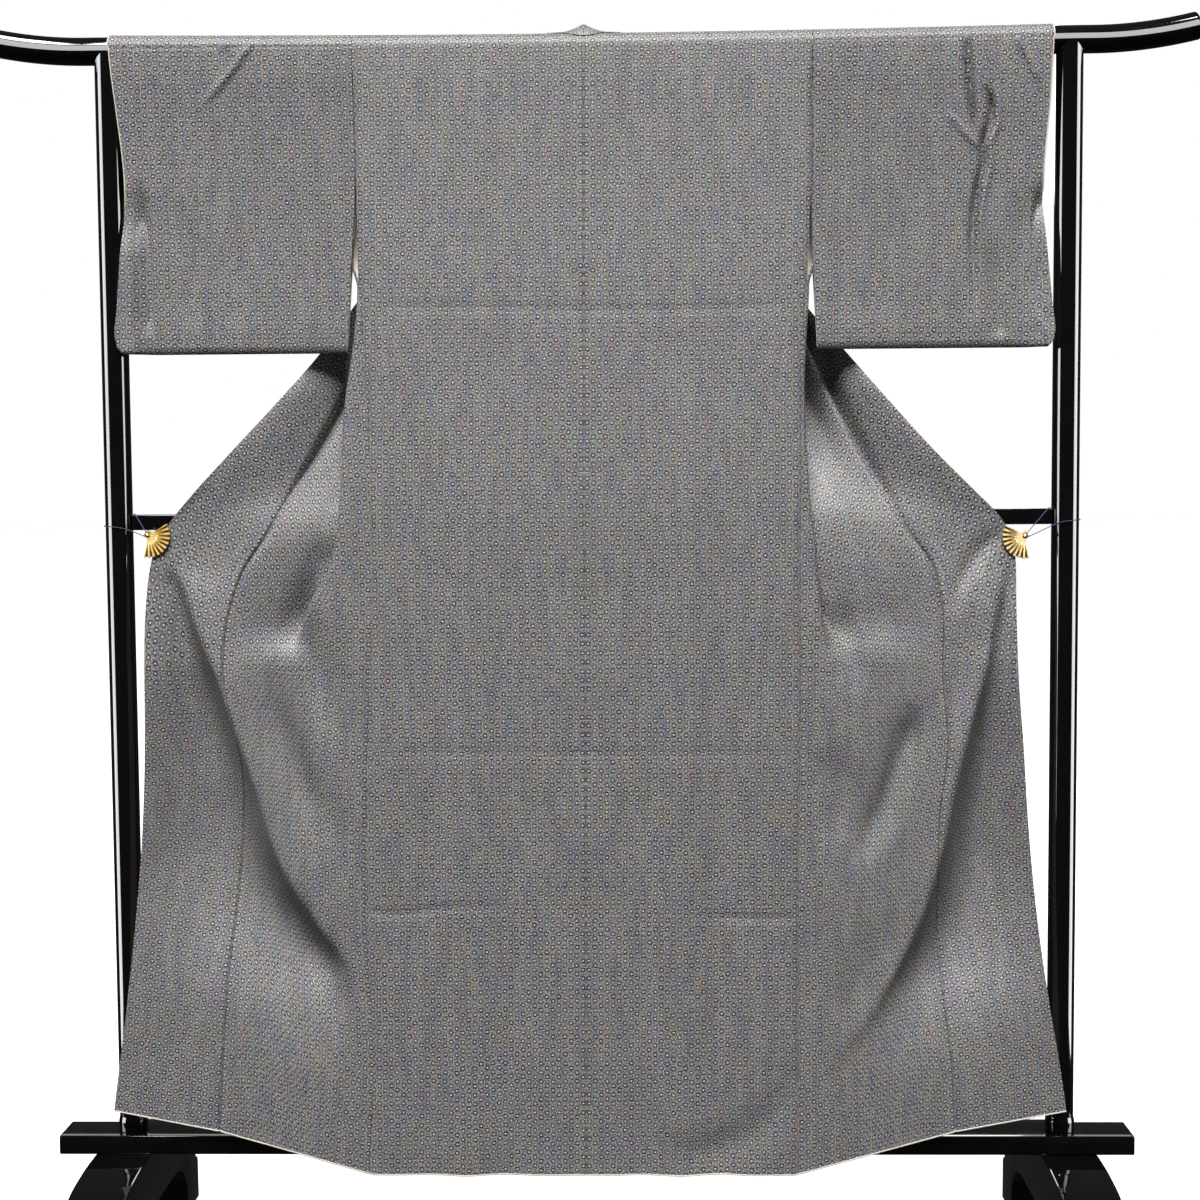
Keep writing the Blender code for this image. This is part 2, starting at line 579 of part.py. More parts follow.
def flat_piece(name, outline, thickness, location, rotation, look):
    """A flat outline, cut from a board of a thickness."""
    line = bpy.data.curves.new(name, "CURVE")
    line.dimensions = "2D"
    line.fill_mode = "BOTH"
    line.extrude = thickness / 2
    spline = line.splines.new("POLY")
    spline.points.add(len(outline) - 1)
    spline.use_cyclic_u = True
    for dot, (x, y) in zip(spline.points, outline):
        dot.co = (x, y, 0.0, 1.0)
    piece = bpy.data.objects.new(name, line)
    piece.location = location
    piece.rotation_euler = rotation
    weld = piece.modifiers.new("closed", "WELD")
    weld.merge_threshold = 0.00005
    return finish(piece, *look)


def as_mesh(piece):
    """The same piece as a welded mesh, which a Boolean can cut."""
    bpy.context.view_layer.update()
    graph = bpy.context.evaluated_depsgraph_get()
    mesh = bpy.data.meshes.new_from_object(piece.evaluated_get(graph))
    shaper = bmesh.new()
    shaper.from_mesh(mesh)
    bmesh.ops.remove_doubles(shaper, verts=shaper.verts, dist=1e-5)
    shaper.to_mesh(mesh)
    shaper.free()
    name, place_in_room = piece.name, piece.matrix_world.copy()
    bpy.data.objects.remove(piece, do_unlink=True)
    welded = bpy.data.objects.new(name, mesh)
    welded.matrix_world = place_in_room
    return finish(welded, *LACQUER)


def top_rail():
    """A round rail, its ends turned up and cut square, with a socket under it at each post."""
    half = RAIL_STATIONS[::-1]
    stations = [-x for x in half[:-1]] + list(half[::-1])
    line = bpy.data.curves.new("top_rail", "CURVE")
    line.dimensions = "3D"
    line.bevel_depth = RAIL_RADIUS
    line.bevel_resolution = 10
    line.use_fill_caps = True
    spline = line.splines.new("POLY")
    spline.points.add(len(stations) - 1)
    for dot, x in zip(spline.points, stations):
        dot.co = (x, 0.0, float(rail_line(x)), 1.0)
        dot.radius = 1.0 - (TIP_EASE if abs(x) == RAIL_TIP else 0.0)
    rail = as_mesh(finish(bpy.data.objects.new("top_rail", line), *LACQUER))
    for side, sign in SIDES.items():
        bpy.ops.mesh.primitive_cylinder_add(vertices=24, radius=SOCKET_RADIUS, depth=SOCKET_DEPTH,
                                            location=(sign * POST_OUT, 0, SOCKET_TOP - SOCKET_DEPTH / 2),
                                            rotation=(0, 0, SOCKET_TURN))
        socket = bpy.context.object
        socket.name = "socket_" + side
        for home in list(socket.users_collection):
            home.objects.unlink(socket)
        cutters.objects.link(socket)
        socket.hide_render = True
        socket.display_type = "WIRE"
        cut = rail.modifiers.new("socket " + side, "BOOLEAN")
        cut.operation = "DIFFERENCE"
        cut.solver = "EXACT"
        cut.object = socket
    return rail


def post(side):
    """A turned post: a low ring on the beam, then straight up into the rail."""
    foot_z = BEAM_TOP + GAP
    ring_z = foot_z + BASE_HEIGHT
    top_z = SOCKET_TOP - GAP
    profile = ((0.0, top_z), (POST_RADIUS, top_z), (POST_RADIUS, ring_z + BASE_SLOPE),
               (BASE_RADIUS, ring_z - BASE_SLOPE), (BASE_RADIUS, foot_z), (0.0, foot_z))
    return turned("post_" + side, profile, 24, (SIDES[side] * POST_OUT, 0, 0), (0, 0, 0), LACQUER)


def foot(side):
    """A foot along Y: a low swept top and an arch underneath between its two pads."""
    outline = list(FOOT_OUTLINE) + [(-y, z) for y, z in FOOT_OUTLINE[::-1] if y != 0.0]
    board = flat_piece("foot_" + side, outline, FOOT_WIDTH, (SIDES[side] * FOOT_OUT, 0, 0),
                       (math.pi / 2, 0, math.pi / 2), LACQUER)
    eased = board.modifiers.new("eased edges", "BEVEL")
    eased.width = FOOT_EASE
    eased.segments = 2
    eased.limit_method = "ANGLE"
    eased.angle_limit = math.radians(50)
    return board


# ---------------------------------------------------------------- clips and ties
def fan(side):
    """The clip's pleated fan: a thin plate whose ribs stand up towards its rim."""
    sign = SIDES[side]
    x0, z0 = sign * CLIPS[side]["out"], SHOULDER_Z - CLIPS[side]["down"]
    back = CLIP_Y - CLOTH / 2 - GAP
    front = back - FAN_PLATE
    radii = (0.0030, 0.0120, 0.0135, 0.0325, FAN_RADIUS)
    points, count = [], 2 * FAN_PLEATS + 1
    for i, angle in enumerate(np.linspace(FAN_FROM, FAN_TO, count)):
        way_x, way_z = -sign * math.cos(angle), math.sin(angle)
        lift = FAN_RELIEF if i % 2 else 0.0
        raised = (0.0, 0.0, lift, lift, lift / 2)
        points += [(x0 + way_x * r, front - up, z0 + way_z * r) for r, up in zip(radii, raised)]
        points += [(x0 + way_x * r, back, z0 + way_z * r) for r in (radii[-1], radii[0])]
    n = len(radii) + 2
    faces = [(r * n + i, r * n + (i + 1) % n, (r + 1) * n + (i + 1) % n, (r + 1) * n + i)
             for r in range(count - 1) for i in range(n)]
    faces += [tuple(range(n)), tuple(range((count - 1) * n, count * n))]
    mesh = bpy.data.meshes.new("clip_fan_" + side)
    mesh.from_pydata(points, [], faces)
    shaper = bmesh.new()
    shaper.from_mesh(mesh)
    bmesh.ops.recalc_face_normals(shaper, faces=shaper.faces)
    shaper.to_mesh(mesh)
    shaper.free()
    return finish(bpy.data.objects.new("clip_fan_" + side, mesh), *GILT)


def jaw_and_pin(side):
    """Behind the cloth the jaw, and the pin that carries the fan, its knob and the tie."""
    sign = SIDES[side]
    x0, z0 = sign * CLIPS[side]["out"], SHOULDER_Z - CLIPS[side]["down"]
    fan_front = CLIP_Y - CLOTH / 2 - GAP - FAN_PLATE
    jaw_front = CLIP_Y + CLOTH / 2 + JAW_ROOM
    shape = ((-0.006, -0.005), (JAW_REACH, -0.008), (JAW_REACH, 0.008), (-0.006, 0.005))
    lean_x, lean_z = math.cos(JAW_LEAN), math.sin(JAW_LEAN)
    outline = [(-sign * (a * lean_x - b * lean_z), -a * lean_z - b * lean_x) for a, b in shape]
    flat_piece("clip_jaw_" + side, outline, JAW_PLATE, (x0, jaw_front + JAW_PLATE / 2, z0),
               (math.pi / 2, 0, 0), GILT)

    knob = fan_front - PIN_GROOVE
    profile = ((0.0, 0.0036 - knob), (0.0014, 0.0035 - knob), (0.0026, 0.0030 - knob),
               (0.0035, 0.0016 - knob), (0.0035, 0.0002 - knob), (0.0017, -knob),
               (0.0017, GAP - jaw_front), (0.0, GAP - jaw_front))
    turned("clip_pin_" + side, profile, 16, (x0, 0, z0), (math.pi / 2, 0, 0), GILT)


def tie(side):
    """The cord from the clip's pin round the post and back over the middle rail."""
    sign = SIDES[side]
    pin_out, pin_z = CLIPS[side]["out"], SHOULDER_Z - CLIPS[side]["down"]
    groove = CLIP_Y - CLOTH / 2 - GAP - FAN_PLATE - PIN_GROOVE / 2
    route = []
    for turn in np.radians(np.arange(60, 301, 24)):  # round the pin, on the side of the cloth
        route.append((pin_out + PIN_LOOP * math.cos(turn), groove,
                      pin_z + PIN_LOOP * math.sin(turn)))
    for angle in range(-45, 246, 15):                # round the post, seen from above
        turn = math.radians(angle)
        height = float(np.interp(angle, TIE_TURNS["angle"], TIE_TURNS["height"]))
        route.append((POST_OUT + TIE_RADIUS * math.sin(turn), -TIE_RADIUS * math.cos(turn), height))
    route += list(TIE_OVER_RAIL)
    line = bpy.data.curves.new("tie_" + side, "CURVE")
    line.dimensions = "3D"
    line.bevel_depth = TIE / 2
    line.bevel_resolution = 2
    spline = line.splines.new("POLY")
    spline.points.add(len(route) - 1)
    spline.use_cyclic_u = True
    for dot, (out, y, z) in zip(spline.points, route):
        dot.co = (sign * out, y, z, 1.0)
    return finish(bpy.data.objects.new("tie_" + side, line), *CORD)


# ---------------------------------------------------------------- put together
top_rail()
block("mid_rail", (0, 0, MID_Z), (2 * (POST_OUT - POST_RADIUS - GAP), MID_DEPTH, MID_HEIGHT))
block("bottom_beam", (0, 0, BEAM_TOP - BEAM_HEIGHT / 2), (BEAM_LENGTH, BEAM_DEPTH, BEAM_HEIGHT))
for each in SIDES:
    post(each)
    foot(each)
    body(each)
    overlap(each)
    sleeve(each)
    collar(each)
    fan(each)
    jaw_and_pin(each)
    tie(each)
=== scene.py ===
"""A lined silk kimono over a black lacquer stand, shown from its back.

The fronts are drawn out to the sides and each is held by a gilt fan clip, tied to its post with a
thin purple cord.  Metres, +Z up; the back of the kimono faces -Y.  "Out" is the distance from the
middle of the stand towards the left (-X) or the right (+X), "down" the distance below SHOULDER_Z.
Stand and clips repeat the sizes of the solid part.  The cloth starts from the same sections and is
worked out at a finer step, with its valleys, long folds and creases laid on as formulas.
"""
import json
import math

import bpy
import numpy as np
from mathutils import Matrix, Vector

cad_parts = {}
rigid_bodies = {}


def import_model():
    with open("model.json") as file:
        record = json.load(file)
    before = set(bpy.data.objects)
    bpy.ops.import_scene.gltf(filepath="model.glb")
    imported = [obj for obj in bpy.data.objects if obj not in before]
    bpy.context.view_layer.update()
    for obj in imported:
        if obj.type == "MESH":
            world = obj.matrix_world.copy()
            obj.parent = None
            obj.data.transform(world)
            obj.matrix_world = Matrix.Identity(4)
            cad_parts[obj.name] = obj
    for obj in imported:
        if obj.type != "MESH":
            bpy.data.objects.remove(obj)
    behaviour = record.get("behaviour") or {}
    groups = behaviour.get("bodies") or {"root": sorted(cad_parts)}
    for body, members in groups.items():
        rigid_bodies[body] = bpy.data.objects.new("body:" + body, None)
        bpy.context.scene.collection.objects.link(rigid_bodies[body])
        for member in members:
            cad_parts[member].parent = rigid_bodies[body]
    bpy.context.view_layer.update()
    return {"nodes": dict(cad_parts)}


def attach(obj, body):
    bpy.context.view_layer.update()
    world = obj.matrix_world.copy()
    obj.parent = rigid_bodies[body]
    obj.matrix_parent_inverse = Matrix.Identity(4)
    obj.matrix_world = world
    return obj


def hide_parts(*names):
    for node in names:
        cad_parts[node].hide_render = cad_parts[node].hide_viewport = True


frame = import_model()

# ---------------------------------------------------------------- sizes shared with the solids
SILK_WALL = 0.0014           # outer silk and lining together
BAND_WALL = 0.0028           # folded collar band
GAP = 0.0003

RAIL_RADIUS = 0.019
RAIL_Z = 1.735
RAIL_SAG = 0.005
RAIL_BEND = 0.700
RAIL_TIP = 0.845
RAIL_RISE = 0.017
TIP_ROUND = 0.003            # on the square-cut ends

POST_OUT = 0.669
POST_RADIUS = 0.019
POST_TOP = RAIL_Z - 0.0045
BASE_RADIUS = 0.0205
BASE_HEIGHT = 0.018
BASE_SLOPE = 0.004

MID_Z = 1.0765
MID_HEIGHT = 0.022
MID_DEPTH = 0.014

BEAM_TOP = 0.1965
BEAM_HEIGHT = 0.0275
BEAM_DEPTH = 0.060
BEAM_LENGTH = 1.538
BAR_EASE = 0.0022

FOOT_OUT = 0.677
FOOT_WIDTH = 0.081
FOOT_EASE = 0.003

SHOULDER = 0.0208            # middle of the cloth, from the rail's middle line
SHOULDER_Z = RAIL_Z + 0.020  # level that "down" is measured from
LOWEST = 1.61                # last level of the cloth tables
HEM = 1.607                  # hem of the back, down from the shoulders
HEM_AT_SEAM = 1.545          # where the overlap starts
HEM_AT_EDGE = 1.516          # at the free corner
NECK = 0.085                 # half width of the neck opening
NECK_SHIFT = 0.003           # the neck lies this far to the left of the stand's middle
SETTLED = 0.88               # below this the fronts hang flat
HEM_FORWARD = 0.006          # how far they lean forward from there to the hem
COLLAR_WIDTH = 0.055
COLLAR_BEHIND = 0.0048       # from the middle of the front's wall to the collar's
COLLAR_LEAN = 0.003          # how much further back its inner edge hangs
CUFF = 0.23                  # open part of the sleeve's outer edge
SIDES = {"left": -1.0, "right": 1.0}

# One row for each level of the back: side edge, centre seam and how far it stands forward.
BACK = {
    "down":        (0.00, 0.22, 0.35, 0.45, 0.62, 0.83, 1.07, 1.24, 1.44, 1.61),
    "left_side":   (.3240, .3200, .3180, .3120, .3050, .3070, .3160, .3190, .3110, .3190),
    "right_side":  (.3120, .3100, .3040, .2980, .2950, .2940, .2920, .2900, .2900, .2900),
    "centre":      (-.003, -.004, -.005, -.005, -.006, -.006, -.007, -.008, -.009, -.010),
    "forward":     (.0208, .0245, .0290, .0325, .0400, .0434, .0452, .0466, .0482, .0497),
}

# One row for each level of the drawn-out fronts.  "seam" is the seam between front and overlap,
# "edge" the free edge, "band" the shaded step beside the seam, "tuck" the outward fold beside the
# side seam, "width" the cloth from side seam to overlap seam.
FRONT = {
    "down":        (0.00, 0.10, 0.20, 0.30, 0.372, 0.444, 0.51, 0.59, 0.64, 0.68, 0.705, 0.74,
                    0.80, 0.90, 1.00, 1.10, 1.20, 1.35, 1.47, 1.55),
    "left_edge":   (.085, .146, .207, .278, .332, .383, .438, .511, .558, .592, .609, .619,
                    .6255, .628, .630, .635, .643, .660, .677, .688),
    "right_edge":  (.085, .143, .199, .256, .303, .362, .416, .486, .536, .575, .590, .595,
                    .5955, .598, .606, .613, .622, .641, .661, .672),
    "left_seam":   (.083, .143, .2035, .258, .288, .319, .3525, .395, .4235, .4455, .460, .484,
                    .5055, .514, .495, .499, .508, .520, .528, .533),
    "right_seam":  (.083, .140, .1955, .245, .280, .318, .348, .386, .413, .4355, .451, .476,
                    .492, .4925, .499, .4875, .487, .497, .508, .512),
    "left_band":   (.004, .006, .008, .010, .012, .015, .015, .013, .0125, .010, .0095, .009,
                    .006, .006, .006, .006, .006, .006, .006, .006),
    "right_band":  (.005, .005, .005, .005, .005, .006, .006, .006, .006, .007, .008, .009,
                    .008, .006, .006, .006, .006, .006, .006, .006),
    "left_tuck":   (0, 0, 0, 0, 0, .012, .026, .034, .038, .043, .047, .052,
                    .084, .088, .084, .080, .080, .080, .080, .080),
    "right_tuck":  (0, 0, 0, 0, 0, 0, 0, .004, .008, .012, .015, .018,
                    .024, .030, .030, .030, .030, .030, .030, .030),
    "left_width":  (.239, .237, .236, .232, .230, .226, .222, .218, .216, .214, .213, .212,
                    .211, .211, .211, .211, .211, .211, .211, .211),
    "right_width": (.227, .227, .226, .225, .225, .224, .224, .223, .223, .222, .222, .222,
                    .222, .222, .222, .222, .222, .222, .222, .222),
}

# How far the fronts stand behind (+) or in front of (-) the rail's middle line: at the side edge,
# the inner fold, the ridge beside the band, the overlap seam and the free edge.
DEPTH = {
    "down":  (0.02, 0.06, 0.10, 0.20, 0.30, 0.38, 0.444, 0.51, 0.59, 0.64, 0.68, 0.74, 0.80, 0.88),
    "side":  (.0208, .0208, .0208, .018, .000, -.0275, -.0297, -.0327, -.0365, -.0382, -.0390,
              -.0395, -.0400, -.0405),
    "fold":  (.0208, .0208, .0208, .024, .034, .038, .036, .022, .0040, -.0110, -.0225,
              -.0310, -.0340, -.0405),
    "ridge": (.0208, .0270, .0305, .0335, .038, .041, .038, .025, .0060, -.0080, -.0225, -.0335,
              -.0375, -.0405),
    "seam":  (.0208, .0280, .0315, .0345, .042, .046, .041, .029, .0100, -.0040, -.0175, -.0265,
              -.0345, -.0405),
    "edge":  (.0208, .0290, .0325, .0355, .034, .026, .014, -.0080, -.0240, -.0245, -.0225, -.0250,
              -.0320, -.0395),
}

# The long fold that runs down and inwards from each clip: where it lies, the ridge on its inner
# side, how deep it drops, how steeply, and over what distance the cloth comes back.
LONG_FOLD = {
    "down":         (0.735, 0.76, 0.83, 0.90, 0.975, 1.05, 1.16, 1.25, 1.31, 1.36, 1.47),
    "left_out":     (.590, .577, .552, .524, .499, .473, .439, .388, .340, .303, .220),
    "right_out":    (.581, .578, .563, .550, .530, .512, .488, .459, .430, .402, .329),
    "ridge":        (.002, .005, .008, .009, .009, .009, .008, .006, .005, .004, .001),
    "left_drop":    (.006, .022, .054, .082, .100, .108, .108, .088, .060, .030, .001),
    "left_slope":   (.006, .011, .021, .033, .043, .052, .060, .060, .054, .046, .040),
    "left_return":  (.012, .020, .034, .050, .066, .084, .102, .110, .110, .105, .100),
    "right_drop":   (.004, .014, .034, .058, .080, .096, .104, .088, .060, .030, .001),
    "right_slope":  (.006, .009, .016, .024, .033, .042, .050, .052, .048, .042, .038),
    "right_return": (.010, .014, .021, .031, .046, .064, .084, .098, .105, .105, .100),
}
LONG_FOLD_STARTS = (0.725, 0.77)     # down, from nothing to its whole depth
LONG_FOLD_ENDS = (1.36, 1.52)
LONG_FOLD_ROUND = 0.004              # of the edge between ridge and drop
LONG_FOLD_RIDGE = 0.030              # half width of the ridge

# The sleeves, level by level: inner and outer edge, half the space between the two layers, and
# how far their middle stands behind the rail's.
SLEEVE = {
    "down":      (0.00, 0.06, 0.10, 0.215, 0.30, 0.38, 0.425, 0.437, 0.443),
    "left_in":   (.3246, .3242, .3236, .3234, .3290, .3340, .3370, .3380, .3385),
    "left_out":  (.6640, .6590, .6550, .6460, .6520, .6580, .6600, .6555, .6480),
    "right_in":  (.3130, .3128, .3124, .3114, .3130, .3170, .3195, .3200, .3205),
    "right_out": (.6440, .6410, .6395, .6320, .6360, .6430, .6460, .6430, .6370),
    "half_gap":  (.0208, .0195, .0165, .0110, .0080, .0060, .0045, .0030, .0000),
    "middle":    (.0000, -.0005, -.001, -.002, -.0045, -.0070, -.0085, -.0090, -.0090),
}
PINCHED = 0.0020             # half the space between the layers at the closed outer edge
PAST_POST = 0.016            # how far the outer corner is pushed forward to pass the post
PASSING_OUT = (0.600, 0.648)
PASSING_DOWN = (0.225, 0.31)
REAR_CREASES = 0.2           # share of a crease that the rear layer takes

CLIPS = {
    "left":  {"out": 0.621, "down": 0.696},
    "right": {"out": 0.607, "down": 0.705},
}
CLIP_Y = -0.0256             # middle of the cloth where the clips hold it
HALF_CLOTH = 0.001           # half the solid cloth's wall, which the clips close on
JAW_ROOM = 0.002             # between the cloth and the jaw behind it
FAN_RADIUS = 0.0318
FAN_RIBS = 10
FAN_FROM = math.radians(30)  # above the level line, towards the cloth
FAN_TO = math.radians(-100)
FAN_SOLID = 0.001            # thickness of the solid plate, which the knob stands on
FAN_PLATE = 0.0009           # thickness between the ribs
FAN_RELIEF = 0.0017          # how far the ribs stand up from it
FAN_STEP = 0.0013            # how far the rim steps in between the ribs
PIN_RADIUS = 0.0017
KNOB_RADIUS = 0.0035
PIN_GROOVE = 0.0022          # between fan and knob, where the tie loops round the pin
PIN_LOOP = 0.0031            # radius of that loop
TIE = 0.0012                 # thickness of the cord
TIE_RADIUS = 0.0208          # from the post's middle line to the cord's
# height of the cord at each angle round the post, from its inner front to its inner back
TIE_TURNS = {
    "angle":  (-45, -15, 15, 45, 75, 105, 135, 165, 195, 225, 245),
    "height": (1.0670, 1.0695, 1.0710, 1.0712, 1.0715, 1.0725, 1.0745, 1.0775, 1.0810, 1.0850,
               1.0890),
}
TIE_OVER_RAIL = ((0.6465, 0.0010, 1.0889), (0.6440, -0.0090, 1.0886))    # out, forward, height

# The collar over the rail, from the middle outwards: how far out, the share by which its inner
# edge is drawn in, and the band's five points (Y, Z) from its free to its inner edge.
NECK_ARCH = (
    (0.000, 0.0, (-.0165, 1.7440), (-.0105, 1.7560), (-.0020, 1.7628), (.0130, 1.7570),
     (.0240, 1.7430)),
    (0.012, 0.0, (-.0150, 1.7455), (-.0090, 1.7530), (.0000, 1.7572), (.0140, 1.7530),
     (.0250, 1.7415)),
    (0.025, 0.0, (-.0100, 1.7488), (-.0040, 1.7522), (.0040, 1.7536), (.0165, 1.7490),
     (.0265, 1.7385)),
    (0.040, 0.05, (-.0055, 1.7505), (.0010, 1.7517), (.0085, 1.7516), (.0190, 1.7455),
     (.0280, 1.7350)),
    (0.055, 0.10, (.0010, 1.7510), (.0070, 1.7506), (.0135, 1.7482), (.0225, 1.7405),
     (.0300, 1.7300)),
    (0.072, 0.20, (.0075, 1.7500), (.0130, 1.7482), (.0190, 1.7435), (.0265, 1.7350),
     (.0335, 1.7235)),
    (0.086, 0.30, (.0140, 1.7475), (.0190, 1.7427), (.0240, 1.7357), (.0300, 1.7255),
     (.0355, 1.7135)),
    (0.096, 0.40, (.0200, 1.7425), (.0245, 1.7357), (.0285, 1.7266), (.0328, 1.7155),
     (.0370, 1.7040)),
)
# how far out the neck opening reaches, at each angle over the rail (0 behind, 180 in front)
NECKLINE = {"down": (45, 60, 76, 100, 130), "out": (.000, .024, .041, .062, .0835)}
COLLAR_LEVELS = (0.055, 0.085, 0.12, 0.17, 0.23, 0.29, 0.35, 0.41, 0.47, 0.53, 0.59, 0.625, 0.655)

# A foot from its middle to its tip and back along the arch underneath: forward, height.
FOOT_OUTLINE = (
    (0.000, .1687), (0.040, .1687), (0.100, .1650), (0.150, .1560), (0.180, .1430),
    (0.205, .1180), (0.218, .0920), (0.222, .0700), (0.232, .0660), (0.235, .0600),
    (0.235, .0000), (0.165, .0000), (0.160, .0500), (0.140, .0760), (0.100, .0870),
)

# ---------------------------------------------------------------- turns, rooms and soft forms
TUCK_ROUND = 0.0040          # radius of the turn at the tuck
FOLD_ROUND = 0.0045          # and at the inner fold
LEAST_LAP = 0.001            # cloth between the two turns
LEAST_FRONT = 0.016          # cloth after the second
LEAST_RIDGE = 0.008          # from the second turn to the ridge beside the band
LEAST_STEP = 0.003           # between the marks along a section
FLAT_SLOPE = 0.15            # how much of a turn's depth the flat parts between the turns take
LINING_REACH = 0.009         # of the front past the back, beside the sleeve
REACH_STARTS = (0.10, 0.17)
REACH_ENDS = (0.315, 0.355)
CURLS = (0.10, 0.22)         # levels over which the front curls in behind the back
UNFOLDS = 0.78               # from here to SETTLED it opens out flat again
EVENS_OUT = (0.80, 1.15)     # levels over which the marks spread evenly
FOLD_FROM = 0.115            # level at which the folded sections start
RAIL_ROOM = 0.002            # between the fronts and the middle rail
RAIL_APPROACH = 0.7          # slope at which the cloth may come near it
RAIL_SOFT = 0.003            # rounding of that bend
SEAM_CALM = 0.040            # no crease crosses the overlap seam: they fade out this near to it
OVERLAP_CALM = 0.010         # the same on the overlap
OVERLAP_BOW = 1.5            # power by which the overlap's depth goes from seam to free edge
EDGE_SHARE = 0.6             # share of the long fold that the free edge loses
COLLAR_VALLEY = 0.035        # half width of the valley as the collar follows it, wider than its own
COLLAR_VALLEY_FROM = (0.15, 0.22)
COLLAR_PRESSED = (0.62, 0.66)        # levels by which the clip holds it close
COLLAR_UPRIGHT = (0.60, 0.64)
BACK_WAVE = 0.004            # depth of the soft waves of the back's lower half
BACK_WAVES = 2.5             # across one half of the back
BACK_WAVE_TURN = 0.15        # of a wave, by which the two halves differ
BACK_WAVE_FROM = (0.3, 1.2)
# seams pressed into the cloth: depth and half width
CENTRE_SEAM = (0.0014, 0.0010)
SIDE_SEAM = (0.0036, 0.0011)
FRONT_SEAM = (0.0030, 0.0022)
HEM_ROLL = 0.0013            # radius of the cream roll along the hem
CUFF_ROLL = 0.0011

# ---------------------------------------------------------------- how finely the cloth is made
# how many columns each stretch of a front's section gets, from the side edge to the overlap seam
COLUMN_SPLITS = (5, 3, 3, 3, 4, 4, 4, 4, 4, 4, 4, 4, 8, 8, 8, 8, 9)
FOLDED_COLUMN = sum(COLUMN_SPLITS[:9])       # where the inner fold starts to turn
OUTER_COLUMN = sum(COLUMN_SPLITS[:12])       # first column of the layer that shows
SEAM_HALF_GAP = 0.00008
BACK_STEP = 0.0055
FRONT_STEP = 0.007
SLEEVE_STEP = 0.004
SECTION_STEPS = 1200         # along the cloth, for a section's turns
# where the patterns of the cloths start across the silk, so that no two show the same stretch
FRONT_PRINT = 3.0
OVERLAP_PRINT = 6.0
SLEEVE_PRINT = 9.0
COLLAR_PRINT = 12.0

# The valley along the overlap seam: its depth, and its half width on the seam's two sides.
VALLEY = {
    "down":       (0.22, 0.40, 0.50, 0.59, 0.65, 0.74, 0.80, 0.90),
    "left_deep":  (.012, .020, .021, .015, .005, .0056, .0056, .0050),
    "left_body":  (.009, .010, .010, .009, .007, .003, .0012, .0011),
    "left_lap":   (.005, .006, .006, .005, .004, .002, .0012, .0011),
    "right_deep": (.008, .014, .016, .013, .005, .0055, .0056, .0050),
    "right_body": (.003, .003, .003, .003, .002, .002, .0012, .0011),
    "right_lap":  (.010, .014, .014, .012, .008, .004, .0012, .0011),
}

